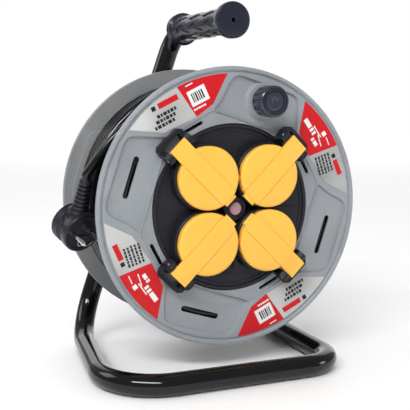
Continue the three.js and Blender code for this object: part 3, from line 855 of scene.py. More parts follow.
@dataclass(frozen=True)
class Flanges:
    """The drum's two flanges: flat lands for the labels, between four recessed pads."""

    radius: float = 130
    pad_directions: tuple[float, ...] = (72, 162, 252, 342)
    pad: Outline = ((79.5, -45), (88, -42.5), (105, -38), (115.6, -34.5), (118.8, -28), (118.8, 29),
                    (116, 36), (110, 39), (92, 42), (79.5, 47))
    slot_radius: float = 102
    vent_radius: float = 84
    knob_orbit: float = 103

    def pads(self, y0: float, y1: float, draft: float) -> list[bpy.types.Object]:
        """Returns: a solid for each recessed pad, from y0 to a smaller outline at y1."""
        return [Bench.place(Bench.prism(self.pad, y0, y1, 3, draft), about_axis(angle))
                for angle in self.pad_directions]

    def dish(self, y0: float, y1: float) -> bpy.types.Object:
        """Returns: the shallow eight-sided dish round the socket panel."""
        corners = []
        for angle in self.pad_directions:
            turn = about_axis(angle)
            for u, v in ((self.pad[0][0] + 0.6, self.pad[0][1]), (self.pad[-1][0] + 0.6, self.pad[-1][1])):
                point = turn @ Vector((u, 0, v))
                corners.append((point.x, point.z))
        return Bench.prism(corners, y0, y1, 4, 0.985)

    def slots(self, y0: float, y1: float) -> list[bpy.types.Object]:
        """Returns: a tool for each carrying slot and each vent."""
        tools = []
        for k, angle in enumerate(self.pad_directions):
            vent = Bench.prism(Bench.stadium(22, 3.5), y0, y1)
            place = Matrix.Translation((self.vent_radius * MM, 0, 0))
            tools.append(Bench.place(vent, about_axis(angle - 44.5), place))
            if k:
                slot = Bench.prism(Bench.stadium(39, 5.4), y0, y1)
                place = Matrix.Translation((self.slot_radius * MM, 0, 0))
                tools.append(Bench.place(slot, about_axis(angle), place))
        return tools

    def front(self) -> bpy.types.Object:
        """Returns: the front flange, with its rolled rim and the knob's boss."""
        piece = Bench.turned([(78.2, 6), (78.2, 1.6), (78.8, 1.2), (123.9, 1.2), (124.5, 2.1), (125.3, 2.1),
                              (125.9, 0.9), (126.9, 0.15), (128.2, 0), (129.3, 0.35), (129.9, 1.2),
                              (self.radius, 2.4), (129.8, 5.6), (129.2, 6)], 160, closed=True)
        Bench.boolean(piece, [self.dish(0, 2.5), *self.pads(0, 4.2, 0.95)], cutting=True)
        x, z = polar(self.knob_orbit, self.pad_directions[0])
        boss = Bench.turned([(19.4, 4.8), (18.4, 3.8), (17.2, 2.2), (16.2, 0.7)], 64)
        Bench.place(boss, Matrix.Translation((x * MM, 0, z * MM)))
        Bench.boolean(piece, [boss], cutting=False)
        stud = Bench.place(Bench.turned([(3.4, -2), (3.4, 7)], 24), Matrix.Translation((x * MM, 0, z * MM)))
        Bench.boolean(piece, [Bench.joined([*self.slots(-2, 8), stud])], cutting=True)
        return Bench.softened(piece, 0.45, 3, 24)

    def rear(self) -> bpy.types.Object:
        """Returns: the rear flange, the same moulding turned round, its pads proud on the inside."""
        piece = Bench.turned([(12.4, 104), (17, 104), (17, 123), (129.2, 123), (129.8, 123.4),
                              (self.radius, 126.6), (129.9, 127.8), (129.3, 128.7), (128.2, 129),
                              (126.9, 128.85), (125.9, 128.1), (125.3, 126.9), (124.5, 126.9), (123.9, 127.8),
                              (27, 127.8), (26, 129), (12.4, 129)], 160, closed=True)
        Bench.boolean(piece, self.pads(123.5, 121.7, 0.965), cutting=False)
        hollows = self.pads(129.5, 125.4, 0.955)
        screws = [Bench.place(Bench.turned([(2.4, 120), (2.4, 131)], 20), about_axis(90 * k),
                              Matrix.Translation((73 * MM, 0, 0))) for k in range(4)]
        Bench.boolean(piece, hollows, cutting=True)
        Bench.boolean(piece, [Bench.joined([*self.slots(120, 131), *screws])], cutting=True)
        return Bench.softened(piece, 0.45, 2, 24)

    def build(self) -> None:
        """Models both flanges and the hub between them."""
        for piece, name, finish, node in (
                (self.front(), "front_flange_moulding", Finish.DRUM, "front_flange"),
                # The rear flange takes the darker drum grey, which is painted shade.
                (self.rear(), "rear_flange_moulding", Finish.DRUM_REAR, "rear_flange")):
            deliver(Bench.place(piece, DRUM), name, "drum", finish, "drum_grey", [node])


@dataclass(frozen=True)
class SocketPanel:
    """The black round panel, its four socket collars, their hinge brackets and the inserts."""

    offset: float = 30 * math.sqrt(2)
    collar_radius: float = 30.6
    collar_front: float = -9
    hinge_reach: float = 37.6
    hinge_y: float = -10.5
    well_depth: float = 17.5
    pin_spacing: float = 19
    bracket_width: float = 5.4
    bracket_offset: float = 12.5
    oval_orbit: float = 66
    diagonals: tuple[float, ...] = (45, 135, 225, 315)

    def at(self, piece: bpy.types.Object, angle: float) -> bpy.types.Object:
        """Returns: a piece drawn about a socket's centre, moved out to its diagonal."""
        return Bench.place(piece, about_axis(angle), Matrix.Translation((self.offset * MM, 0, 0)))

    def bracket(self, side: int) -> bpy.types.Object:
        """Returns: one hinge bracket, rounded over its pin."""
        outline = [(32, -5.2), (44.2, -5.2), (44.2, 7.4), (42.9, 11.9), (40.1, 14.6), (36.4, 15),
                   (33, 12.8), (32, 9)]
        half = self.bracket_width / 2
        piece = Bench.prism(outline, -half, half)
        turn = Matrix.Rotation(QUARTER, 4, "X")
        lift = Matrix.Translation((0, 0, side * self.bracket_offset * MM))
        return Bench.place(piece, lift, turn)

    def bridge(self) -> bpy.types.Object:
        """Returns: the wall that joins a hinge's two brackets beyond the lid's neck."""
        outline = [(43.4, -15.2), (47.4, -15.2), (50.6, -12), (50.6, 12), (47.4, 15.2), (43.4, 15.2),
                   (43.4, 9.9), (46.9, 9.9), (46.9, -9.9), (43.4, -9.9)]
        return Bench.prism(outline, 2.6, -5.5)

    def panel(self) -> bpy.types.Object:
        """Returns: the panel with its collars, brackets and raised oval outlines."""
        piece = Bench.turned([(6.5, 5.9), (6.5, -4.6), (10.6, -4.6), (11.4, -4), (13.4, 2.2), (15, 3),
                              (70.6, 3), (71, 2.4), (72.6, 2.4), (73, 3), (73.9, 3), (74.6, 1.9), (77, 1.9),
                              (77.6, 2.6), (77.6, 5.9)], 144, closed=True)
        for angle in self.diagonals:
            collar = Bench.turned([(self.collar_radius + 0.9, 5.9), (self.collar_radius, -8.2),
                                   (self.collar_radius - 0.8, self.collar_front), (27.6, self.collar_front),
                                   (27, -8.4), (27, 5.9)], 72, closed=True)
            Bench.boolean(piece, [self.at(collar, angle)], cutting=False)
        for angle in self.diagonals:
            brackets = [self.at(part, angle) for part in (self.bracket(-1), self.bracket(1), self.bridge())]
            Bench.boolean(piece, brackets, cutting=False)
        wells = [self.at(Bench.turned([(27, self.collar_front - 2), (27, 8)], 72), angle)
                 for angle in self.diagonals]
        sweeps = [self.at(Bench.block((16, 15, 19.4), (self.hinge_reach + 1, self.hinge_y + 1, 0)), angle)
                  for angle in self.diagonals]
        Bench.boolean(piece, wells + sweeps, cutting=True)
        ovals = []
        for z in (self.oval_orbit, -self.oval_orbit):
            where = Matrix.Translation((0, 0, z * MM)), Matrix.Rotation(QUARTER, 4, "Y")
            outer = Bench.place(Bench.prism(Bench.stadium(43, 9), 2.55, 3.2), *where)
            inner = Bench.place(Bench.prism(Bench.stadium(40.6, 6.6), 2, 4), *where)
            ovals.append(Bench.boolean(outer, [inner], cutting=True))
        Bench.boolean(piece, ovals, cutting=False)
        return Bench.softened(piece, 0.4, 2, 28)

    def insert(self) -> bpy.types.Object:
        """Returns: one socket's insert, with its well and pin holes."""
        front = self.collar_front + 0.4
        floor = front + self.well_depth
        piece = Bench.turned([(26.6, front + 0.6), (26.6, floor + 3), (6, floor + 3), (6, floor),
                              (19.7, floor), (19.7, front + 0.8), (20.6, front), (25.8, front)],
                             72, closed=True)
        plate = Bench.turned([(6.5, floor), (6.5, floor + 3)], 48)
        Bench.boolean(piece, [plate], cutting=False)
        holes = [Bench.place(Bench.turned([(2.7, front), (2.7, floor + 5)], 24),
                             Matrix.Translation((0, 0, side * self.pin_spacing / 2 * MM)))
                 for side in (-1, 1)]
        return Bench.softened(Bench.boolean(piece, holes, cutting=True), 0.35)

    def build(self) -> None:
        """Models the panel and its four inserts."""
        deliver(Bench.place(self.panel(), DRUM), "socket_panel_moulding", "drum", Finish.PANEL,
                "panel_black", ["socket_panel"])
        master = self.insert()
        for k, angle in enumerate(self.diagonals, 1):
            piece = self.at(Bench.copied(master), angle)
            deliver(Bench.place(piece, DRUM), f"socket_well_{k}", "drum", Finish.PANEL, "panel_black",
                    [f"socket_insert_{k}"])
        bpy.data.objects.remove(master)


@dataclass(frozen=True)
class Lids:
    """The sprung socket lids: a shallow dome with a neck to its hinge and a lip to lift it by."""

    radius: float = 28.9
    front: float = -16.4
    rest: float = -9.4
    wall: float = 2.4
    neck_width: float = 18.4
    neck_end: float = 43.2
    pin_length: float = 30.4
    knuckle_radius: float = 4.2
    bore_radius: float = 1.8
    pin_radius: float = 1.5
    crown: float = 0.9
    band_rise: float = 0.6
    crease_floor: float = -0.35
    crease_width: float = 0.6
    seal_inner: float = 21.5
    seal_outer: float = 25.5
    spring_radius: float = 2.35
    spring_wire: float = 0.4
    spring_length: float = 5.2
    spring_turns: int = 5

    def dome(self, grow: float) -> Outline:
        """Returns: the profile of the lid's outer surface, grown forward by an amount."""
        rim = self.radius
        points = [(1.5, self.front - self.crown - grow)]
        for share in (0.2, 0.4, 0.6, 0.75, 0.88):
            points.append((rim * share, self.front - self.crown * (1 - share ** 2) - grow))
        return points + [(rim - 1.6, self.front + 0.15 - grow), (rim - 0.6, self.front + 0.7 - grow),
                         (rim, self.front + 1.7)]

    def lid(self, panel: SocketPanel) -> bpy.types.Object:
        """Returns: one lid about its socket's centre, its neck along +X."""
        half = self.neck_width / 2
        skirt = self.rest
        shell = self.dome(0) + [(self.radius - 0.2, skirt), (self.radius - self.wall, skirt),
                                (self.radius - self.wall, self.front + self.wall),
                                (1.5, self.front + self.wall)]
        piece = Bench.turned(shell, 96, closed=True)
        core = Bench.turned([(2.2, self.front - self.crown), (2.2, self.front + self.wall)], 32)
        Bench.boolean(piece, [core], cutting=False)
        band = Bench.turned(self.dome(self.band_rise) + [(self.radius, self.front + 2.2)], 96)
        trim = [Bench.block((80, 12, 40), (0, self.front, side * (half + 20))) for side in (-1, 1)]
        Bench.boolean(band, trim, cutting=True)
        neck = Bench.block((self.neck_end - 22, 3.2, self.neck_width),
                           ((self.neck_end + 22) / 2, self.front + 1.25, 0), 0.5)
        lip = Bench.block((5, 3, 12.8), (-self.radius + 0.4, self.front + 2.2, 0), 0.5)
        knuckle = Bench.place(Bench.turned([(self.knuckle_radius, -half), (self.knuckle_radius, half)], 40),
                              Matrix.Translation((panel.hinge_reach * MM, panel.hinge_y * MM, 0)),
                              Matrix.Rotation(QUARTER, 4, "X"))
        Bench.boolean(piece, [band, neck, lip, knuckle], cutting=False)
        notch = Bench.block((11, 9, 7), (panel.hinge_reach, panel.hinge_y + 1.4, 0))
        bore = Bench.place(Bench.turned([(self.bore_radius, -half - 2), (self.bore_radius, half + 2)], 24),
                           Matrix.Translation((panel.hinge_reach * MM, panel.hinge_y * MM, 0)),
                           Matrix.Rotation(QUARTER, 4, "X"))
        Bench.boolean(piece, [notch, bore], cutting=True)
        Bench.softened(piece, 0.25, 2, 38)
        Bench.boolean(piece, [self.crease(side * half) for side in (-1, 1)], cutting=True)
        return Bench.softened(piece, 0)

    def crease(self, z: float) -> bpy.types.Object:
        """Returns: the tool for the fine groove along one side of the band."""
        tool = Bench.block((54, 8, self.crease_width), (0.6, self.front, z))
        floor = Bench.turned(self.dome(self.crease_floor) + [(self.radius, self.rest)], 96)
        return Bench.boolean(tool, [floor], cutting=True)

    def pin(self, panel: SocketPanel) -> bpy.types.Object:
        """Returns: one hinge pin with rounded ends."""
        half = self.pin_length / 2 + 0.4
        piece = Bench.turned([(0.9, -half), (self.pin_radius, 0.6 - half), (self.pin_radius, half - 0.6),
                              (0.9, half)], 24)
        return Bench.softened(Bench.place(piece,
                              Matrix.Translation((panel.hinge_reach * MM, panel.hinge_y * MM, 0)),
                              Matrix.Rotation(QUARTER, 4, "X")), 0)

    def seal(self) -> bpy.types.Object:
        """Returns: the rubber ring inside a lid, with a soft lip."""
        y0, y1 = self.front + self.wall + 0.3, -8.9
        inner, outer = self.seal_inner, self.seal_outer
        piece = Bench.turned([(inner, y0), (outer, y0), (outer, y1 - 1.2), (outer - 0.9, y1),
                              (inner + 1.1, y1), (inner, y1 - 1.2)], 72, closed=True)
        return Bench.softened(piece, 0.3)

    def spring(self, panel: SocketPanel) -> bpy.types.Object:
        """Returns: the wire spring round a hinge pin, wound with the screw modifier."""
        Bench.clear()
        bpy.ops.mesh.primitive_circle_add(vertices=10, radius=self.spring_wire * MM, rotation=(QUARTER, 0, 0),
                                          location=(self.spring_radius * MM, 0, -self.spring_length / 2 * MM))
        piece = Bench.place(bpy.context.object, Matrix.Identity(4))
        modifier = piece.modifiers.new("winding", "SCREW")
        modifier.angle = 2 * math.pi * self.spring_turns
        modifier.screw_offset = self.spring_length * MM
        modifier.steps = modifier.render_steps = 100
        bpy.ops.object.modifier_apply(modifier=modifier.name)
        Bench.shape(piece, Bench.close)
        place = Matrix.Translation((panel.hinge_reach * MM, panel.hinge_y * MM, 0))
        return Bench.softened(Bench.place(piece, place), 0)

    def build(self, panel: SocketPanel) -> None:
        """Models one of each and copies it to the four sockets."""
        masters = (
            (self.lid(panel), "lid_cover", "lid", Finish.LID, "lid_yellow", True),
            (self.seal(), "lid_gasket", "lid_seal", Finish.SEAL, "seal_rubber", True),
            (self.pin(panel), "hinge_rod", "hinge_pin", Finish.ZINC, "zinc_steel", False),
            (self.spring(panel), "hinge_spring", "lid_spring", Finish.ZINC, "zinc_steel", False),
        )
        for master, name, node, finish, slot, moves in masters:
            for k, angle in enumerate(panel.diagonals, 1):
                piece = Bench.place(panel.at(Bench.copied(master), angle), DRUM)
                body = f"lid_{k}" if moves else "drum"
                deliver(piece, f"{name}_{k}", body, finish, slot, [f"{node}_{k}"])
            bpy.data.objects.remove(master)


@dataclass(frozen=True)
class Controls:
    """The winding knob and the thermal cut-out's reset button."""

    orbit: float = 103
    direction: float = 72
    radius: float = 14.3
    front: float = -21.5
    back: float = 0.1
    flutes: int = 14

    def knob(self) -> bpy.types.Object:
        """Returns: the fluted knob, with rings and a dimple in its face."""
        face = self.front
        piece = Bench.turned([(1.1, face + 2.4), (1.7, face + 1.4), (2.4, face + 1.1), (8.6, face + 1.1),
                              (9.1, face + 2.4), (9.8, face + 2.4), (10.2, face + 0.4), (10.9, face + 0.4),
                              (11.2, face + 1.6), (11.9, face + 1.6), (12.2, face), (12.9, face + 0.1),
                              (self.radius, face + 1.5), (self.radius, self.back - 3.6),
                              (13.4, self.back - 1.2), (12.7, self.back)], 112)
        cuts = []
        for k in range(self.flutes):
            groove = Bench.turned([(1.5, face + 2.6), (1.5, self.back - 3)], 16)
            cuts.append(Bench.place(groove, about_axis(k * 360 / self.flutes),
                                    Matrix.Translation(((self.radius + 0.25) * MM, 0, 0))))
        bore = Bench.turned([(3.4, -14.6), (3.4, self.back + 2)], 24)
        Bench.boolean(piece, [Bench.joined([*cuts, bore])], cutting=True)
        return Bench.softened(piece, 0.22, 2, 26)

    def build(self) -> None:
        """Models both controls."""
        x, z = polar(self.orbit, self.direction)
        knob = Bench.place(self.knob(), DRUM, Matrix.Translation((x * MM, 0, z * MM)))
        deliver(knob, "winding_knob", "knob", Finish.KNOB, "knob_black", ["knob"])
        button = Bench.turned([(3.2, -6.75), (4.6, -6.6), (5.4, -6.2), (6, -5.4), (6, 1)], 64)
        deliver(Bench.place(Bench.softened(button, 0), DRUM), "reset_cap", "reset_button", Finish.RESET,
                "reset_rose", ["reset_button"])


# ---- Labels ----------------------------------------------------------------------------------


@dataclass(frozen=True)
class LabelSheet:
    """A foil label on a land between two pads: silver film, a red field and plain printed blocks.

    Attributes:
        number: which label this is; its opposite, two on, is the same turned half round.
        arc: the polar angles where it meets the rim.
        inner: its corners on the side of the drum axis.
        divider: the line between silver and red, with the red on its left.
        rows: printed rows, each with its start, direction in degrees, bar height, lengths and finish.
        code: the middle and direction of the white block with stripes, or None.
    """

    number: int
    arc: tuple[float, float]
    inner: Outline
    divider: Outline
    rows: tuple[tuple[tuple[float, float], float, float, tuple[float, ...], Finish], ...]
    code: tuple[tuple[float, float], float] | None
    radius: float = 123.4
    back: float = 1.14
    front: float = 0.85

    def field(self, red: bool, grow: float) -> bpy.types.Object:
        """Cuts a disc along the label's straight sides.

        Args:
            red: whether this is the red field or the whole silver film.
            grow: how far in front of the film this lies.

        Returns:
            The thin piece.
        """
        lines = [polar(self.radius, self.arc[1]), *self.inner, polar(self.radius, self.arc[0])]
        edges = list(zip(lines, lines[1:]))
        if red:
            edges.append(self.divider)
        Bench.clear()
        bpy.ops.mesh.primitive_circle_add(vertices=360, radius=self.radius * MM, fill_type="NGON",
                                          rotation=(QUARTER, 0, 0))
        piece = Bench.place(bpy.context.object, Matrix.Translation((0, (self.back - grow) * MM, 0)))

        def build() -> None:
            """Cuts along every edge and gives what is left its thickness."""
            for (ax, az), (bx, bz) in edges:
                along = Vector((bx - ax, 0, bz - az))
                away = Vector((0, 1, 0)).cross(along).normalized()
                bpy.ops.mesh.select_all(action="SELECT")
                bpy.ops.mesh.bisect(plane_co=(ax * MM, 0, az * MM), plane_no=away, clear_outer=True)
            bpy.ops.mesh.select_all(action="SELECT")
            thick = self.front - self.back if grow == 0 else -0.03
            bpy.ops.mesh.extrude_region_move(TRANSFORM_OT_translate={"value": (0, thick * MM, 0)})

        Bench.shape(piece, build, Bench.close)
        piece.data.materials.append((Finish.RED if red else Finish.FOIL).material())
        return piece

    def bar(self, at: tuple[float, float], degrees: float, size: tuple[float, float], finish: Finish,
            level: int = 1) -> bpy.types.Object:
        """Returns: a printed block at a point, its length along a direction, a little proud."""
        y = self.front - 0.03 * (level + 1)
        piece = Bench.block((size[0], 0.05, size[1]), (0, 0, 0))
        Bench.place(piece, Matrix.Translation((at[0] * MM, y * MM, at[1] * MM)), about_axis(degrees))
        piece.data.materials.append(finish.material())
        return piece

    def row(self, start: tuple[float, float], degrees: float, height: float, lengths: Sequence[float],
            finish: Finish) -> list[bpy.types.Object]:
        """Returns: a row of blocks, a gap of a third of their height apart."""
        blocks = []
        travelled = 0.0
        for length in lengths:
            dx, dz = polar(travelled + length / 2, degrees)
            blocks.append(self.bar((start[0] + dx, start[1] + dz), degrees, (length, height), finish, 2))
            travelled += length + height * 0.3
        return blocks

    def stripes(self) -> list[bpy.types.Object]:
        """Returns: the white block and its dark stripes of uneven width."""
        (x, z), degrees = self.code
        blocks = [self.bar((x, z), degrees, (18.5, 14.5), Finish.WHITE, 2)]
        widths = (1.1, 0.8, 1.6, 0.9, 1.3, 1.5)
        travelled = -6.2
        for width in widths:
            dx, dz = polar(travelled + width / 2, degrees)
            blocks.append(self.bar((x + dx, z + dz), degrees, (width, 8.6), Finish.BLACK, 4))
            travelled += width + 0.9
        return blocks

    def build(self) -> None:
        """Models the label and its opposite."""
        parts = [self.field(False, 0), self.field(True, self.back - self.front + 0.01)]
        for row in self.rows:
            parts += self.row(*row)
        if self.code:
            parts += self.stripes()
        label = Bench.joined(parts)
        opposite = Bench.copied(label, about_axis(180))
        for piece, number in ((label, self.number), (opposite, self.number + 2)):
            deliver(Bench.place(piece, DRUM), f"label_sheet_{number}", "drum", None, "label_foil",
                    [f"label_{number}"])


def label_sheets() -> list[LabelSheet]:
    """Returns: the wide and the tall label, each with its own print."""
    words = ((2.8, 1.8, 3.4, 2.2, 3.0, 2.0), (3.4, 2.4, 1.6, 3.2, 2.6, 2.2), (2.0, 3.4, 2.8, 1.8, 3.6, 2.2))
    wide_rows = tuple(((-73.2 - k * 0.9, 84.2 - k * 5.2), 26, 3.0, words[k], Finish.BLACK)
                      for k in range(3))
    wide_mark = (((-72.4, 93.6), 26, 5.2, (20.5,), Finish.RED),
                 ((-78.6, 90.6), 26, 4.2, (4.0,), Finish.BLACK))
    wide_note = (((-38.2, 90.2), 26, 1.7, (2.2, 1.4, 2.8, 1.8, 2.4), Finish.WHITE),
                 ((-46.6, 111.2), 26, 1.0, (7.5,), Finish.WHITE))
    tall_rows = tuple(((86.8 + k * 3.3, 44.2 + k * 1.1), -72, 1.9, words[k % 3], Finish.BLACK)
                      for k in range(5))
    tall_mark = (((107.8, 41.4), -66, 5.0, (15.5,), Finish.RED),
                 ((105.8, 47.2), -66, 4.0, (4.0,), Finish.BLACK))
    tall_note = (((75.2, 81.0), -55, 4.6, (9.5, 2.6, 2.6), Finish.WHITE),
                 ((82.6, 62.8), -55, 3.8, (2.4, 5.2), Finish.WHITE),
                 ((84.6, 74.4), -55, 1.2, (3.2, 2.2, 4.0, 2.6), Finish.WHITE),
                 ((94.2, 68.6), -55, 4.4, (4.4,), Finish.WHITE),
                 ((89.0, 66.2), -72, 1.0, (4.4, 3.0, 3.8), Finish.WHITE),
                 ((98.0, 63.6), -66, 1.0, (5.4, 2.6), Finish.WHITE))
    return [
        LabelSheet(2, (92.6, 143.5), ((-66.3, 70.6), (-35.6, 84.5), (-19.6, 96)),
                   ((-54.7, 110.6), (-35, 83.7)),
                   wide_rows + wide_mark + wide_note, ((-34.3, 103.4), 26)),
        LabelSheet(1, (3.4, 52.8), ((68.8, 68.1), (79.6, 45.7), (97.6, 20.2)), ((79.6, 45.7), (110.3, 55.6)),
                   tall_rows + tall_mark + tall_note, None),
    ]


# ---- Frame -----------------------------------------------------------------------------------


@dataclass(frozen=True)
class TubeFrame:
    """The bent tube frame with its moulded grip.

    Attributes:
        radius: the tube's outer radius.
        bends: centreline radii, from the handle round to the right upright.
    """

    radius: float = 10
    handle: float = 171
    rear: float = 151
    foot: float = -144
    front: float = -46
    left_rear: float = -110
    left_front: float = -134
    right_rear: float = 92
    right_front: float = 89
    bends: tuple[float, ...] = (26, 50, 53, 34, 50)
    sides: int = 40
    grip_length: float = 134.5
    grip_radius: float = 12.8
    grip_collar: float = 16.5
    grip_bands: int = 8
    band_teeth: int = 3
    band_rise: float = 1.4
    band_swing: float = 11

    def weld_point(self) -> Vector:
        """Returns: where the right upright meets the left one, behind the axle."""
        left = -self.left_rear / (self.handle - self.foot)
        right = self.right_rear / self.foot
        height = left * self.handle / (left - right)
        return Vector((right * height, self.rear, height))

    def corners(self) -> list[Vector]:
        """Returns: the centreline's corners, from the handle to the weld."""
        points = ((0, 5, self.handle), (0, self.rear, self.handle),
                  (self.left_rear, self.rear, self.foot), (self.left_front, self.front, self.foot),
                  (self.right_front, self.front, self.foot), (self.right_rear, self.rear, self.foot))
        return [Vector(point) for point in points] + [self.weld_point()]

    def tube(self) -> bpy.types.Object:
        """Returns: the tube, extruded along its straights and spun round its bends."""
        Bench.clear()
        corners = self.corners()
        bpy.ops.mesh.primitive_circle_add(vertices=self.sides, radius=self.radius * MM,
                                          location=corners[0] * MM, rotation=(QUARTER, 0, 0))
        piece = Bench.place(bpy.context.object, Matrix.Identity(4))

        def build() -> None:
            """Draws the tube from bend to bend."""
            at = corners[0]
            for k, bend in enumerate(self.bends, 1):
                before = (corners[k - 1] - corners[k]).normalized()
                after = (corners[k + 1] - corners[k]).normalized()
                inside = before.angle(after)
                centre = corners[k] + (before + after).normalized() * (bend / math.sin(inside / 2))
                start = corners[k] + before * (bend / math.tan(inside / 2))
                bpy.ops.mesh.extrude_region_move(TRANSFORM_OT_translate={"value": (start - at) * MM})
                axis = before.cross(after).normalized()
                steps = max(10, round(math.degrees(math.pi - inside) / 4))
                # Spin turns against the right-hand rule, and the bend turns against this axis.
                bpy.ops.mesh.spin(steps=steps, angle=math.pi - inside, center=centre * MM, axis=axis)
                at = corners[k] + after * (bend / math.tan(inside / 2))
            bpy.ops.mesh.extrude_region_move(TRANSFORM_OT_translate={"value": (corners[-1] - at) * MM})

        return Bench.softened(Bench.shape(piece, build, Bench.close), 0)

    def weld_bead(self) -> bpy.types.Object:
        """Returns: the ripple of weld metal round the joint of the uprights."""
        Bench.clear()
        corners = self.corners()
        up = (corners[-1] - corners[-2]).normalized()
        centre = corners[-1] - up * 26
        turn = Vector((0, 0, 1)).rotation_difference(up).to_matrix().to_4x4()
        bpy.ops.mesh.primitive_torus_add(major_segments=64, minor_segments=12,
                                         major_radius=self.radius * MM, minor_radius=1.8 * MM)
        piece = bpy.context.object
        return Bench.softened(Bench.place(piece, Matrix.Translation(centre * MM), turn,
                                          Matrix.Diagonal((1, 1, 2.4, 1))), 0)

    def grip(self) -> bpy.types.Object:
        """Returns: the grip, with raised zigzag bands along it between two collars."""
        bands, collar = self.grip_bands, self.grip_collar
        start, end, twist = 15.0, 119.0, math.radians(self.band_swing)
        steps = self.band_teeth * 8
        body = [(2, 4), (2, 0.3), (2.4, 0), (15.4, 0), (16.2, 0.3), (collar, 1), (collar, 7), (13.4, 12),
                (self.grip_radius, start)]
        tail = [(14.2, 124), (collar, 125.5), (collar, 128), (14.6, 128.8), (14.6, 130.4),
                (collar - 0.4, 131.2), (collar - 0.4, 133.4), (15.4, self.grip_length),
                (13.9, self.grip_length), (13.9, 124), (10.7, 117), (10.7, 4)]
        middle = [(self.grip_radius, start + (end - start) * k / steps) for k in range(1, steps + 1)]
        piece = Bench.turned([*body, *middle, *tail], 96, closed=True)

        pitch = (end - start) / steps

        def raise_bands() -> None:
            """Lifts every other strip along the grip."""
            bpy.ops.mesh.select_all(action="DESELECT")
            bpy.ops.mesh.select_mode(type="FACE")
            bpy.ops.object.mode_set(mode="OBJECT")
            for face in piece.data.polygons:
                x, y, z = face.center / MM
                share = math.atan2(z, x) % (2 * math.pi) * bands / (2 * math.pi)
                face.select = start + pitch < y < end - pitch and math.hypot(x, z) > 12 and share % 1 < 0.5
            bpy.ops.object.mode_set(mode="EDIT")
            lift = {"value": -self.band_rise * MM}
            bpy.ops.mesh.extrude_region_shrink_fatten(TRANSFORM_OT_shrink_fatten=lift)

        def turn_rings() -> None:
            """Turns the rings to and fro, so that the strips run in a zigzag."""
            bpy.ops.mesh.select_mode(type="VERT")
            for k in range(1, steps):
                y = (start + pitch * k) * MM
                bpy.ops.mesh.select_all(action="DESELECT")
                bpy.ops.object.mode_set(mode="OBJECT")
                for vertex in piece.data.vertices:
                    vertex.select = abs(vertex.co.y - y) < 0.4 * MM
                bpy.ops.object.mode_set(mode="EDIT")
                wave = abs(k % 8 - 4) / 2 - 1
                bpy.ops.transform.rotate(value=wave * twist, orient_axis="Y", center_override=(0, y, 0))

        Bench.shape(piece, raise_bands, turn_rings)
        return Bench.softened(Bench.place(piece, Matrix.Translation((0, 0, self.handle * MM))), 0.3, 2, 34)

    def build(self) -> None:
        """Models the frame and its grip."""
        tube = Bench.joined([self.tube(), self.weld_bead()])
        deliver(Bench.place(tube, DRUM), "frame_tube_bent", "frame", Finish.ENAMEL, "tube_enamel",
                ["frame_tube", "frame_foot"])
        deliver(Bench.place(self.grip(), DRUM), "grip_zigzag", "frame", Finish.GRIP, "grip_rubber", ["grip"])


def dress_nodes() -> None:
    """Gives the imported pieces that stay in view, or inside, their finishes."""
    finishes = {
        Finish.ZINC: ("axle_bolt", "axle_nut", "axle_washer_rear", "axle_washer_front", "axle_spacer",
                      "knob_stud", "hub_screw", "earth_clip"),
        Finish.BRASS: ("busbar",),
        Finish.PANEL: ("hub_bush", "thermal_cutout", "cord_clamp"),
        Finish.DRUM: ("hub_core",),
    }
    for finish, starts in finishes.items():
        for name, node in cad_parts.items():
            if name.startswith(starts):
                node.data.materials.clear()
                node.data.materials.append(finish.material())


# ---- Studio ----------------------------------------------------------------------------------


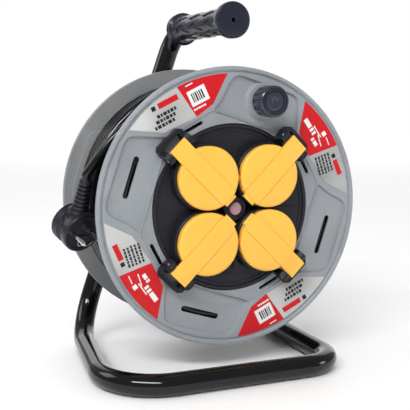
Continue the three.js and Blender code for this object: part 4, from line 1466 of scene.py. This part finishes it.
@dataclass(frozen=True)
class Studio:
    """A pale floor, soft lights and the camera."""

    camera_at: tuple[float, float, float] = (-324.1, -716.3, 105.5)
    lens: float = 75.2
    tilt: float = 82.556
    heading: float = -22.456
    floor_size: float = 6
    room_glow: float = 0.3

    def camera(self) -> None:
        """Sets the camera up."""
        data = bpy.data.cameras.new("camera")
        data.lens = self.lens
        data.sensor_width = 36
        camera = bpy.data.objects.new("camera", data)
        camera.location = DRUM @ (Vector(self.camera_at) * MM)
        camera.rotation_euler = (math.radians(self.tilt), 0, math.radians(self.heading))
        bpy.context.scene.collection.objects.link(camera)
        bpy.context.scene.camera = camera

    def floor(self) -> None:
        """Lays the floor, just under the tubes."""
        Bench.clear()
        bpy.ops.mesh.primitive_plane_add(size=self.floor_size, location=(0, 0, -0.0004))
        floor = bpy.context.object
        floor.name = "studio_floor"
        floor.data.materials.append(Finish.FLOOR.material())

    def lights(self) -> None:
        """Hangs the soft boxes and sets the room's glow."""
        # Each soft box has its place and size in metres and its power in watts.
        boxes = (("key", (-1.1, -1.4, 1.6), (1.7, 0.35), 38), ("fill", (1.6, -1.0, 0.5), (0.5, 0.5), 4),
                 ("sky", (0.0, 0.0, 10.0), (60, 60), 3300), ("back", (-1.2, 0.7, 1.0), (0.7, 0.7), 4),
                 ("cyclorama", (1.35, 3.1, 1.5), (5, 3.2), 50))
        target = Vector((0, 0, 0.15))
        for name, at, (width, height), watts in boxes:
            data = bpy.data.lights.new(name, "AREA")
            data.shape = "RECTANGLE"
            data.size = width
            data.size_y = height
            data.energy = watts
            light = bpy.data.objects.new(name, data)
            light.visible_glossy = name != "sky"
            light.location = at
            light.rotation_euler = (target - Vector(at)).to_track_quat("-Z", "Y").to_euler()
            bpy.context.scene.collection.objects.link(light)
        world = bpy.data.worlds.new("studio")
        world.use_nodes = True
        nodes, links = world.node_tree.nodes, world.node_tree.links
        room = nodes["Background"]
        room.inputs["Color"].default_value = (1, 1, 1, 1)
        room.inputs["Strength"].default_value = self.room_glow
        paper = nodes.new("ShaderNodeBackground")
        paper.inputs["Color"].default_value = (1, 1, 1, 1)
        either = nodes.new("ShaderNodeMixShader")
        links.new(nodes.new("ShaderNodeLightPath").outputs["Is Camera Ray"], either.inputs["Fac"])
        links.new(room.outputs["Background"], either.inputs[1])
        links.new(paper.outputs["Background"], either.inputs[2])
        links.new(either.outputs["Shader"], nodes["World Output"].inputs["Surface"])
        bpy.context.scene.world = world
        bpy.context.scene.view_settings.view_transform = "Standard"

    def build(self) -> None:
        """Sets the camera, the floor and the lights."""
        self.camera()
        self.floor()
        self.lights()


def main() -> None:
    """Builds the studio, the cable and then every sub-assembly."""
    Studio().build()
    CableRun().build(Plug())
    Flanges().build()
    panel = SocketPanel()
    panel.build()
    Lids().build(panel)
    Controls().build()
    for sheet in label_sheets():
        sheet.build()
    TubeFrame().build()
    dress_nodes()


if __name__ == "__main__":
    main()
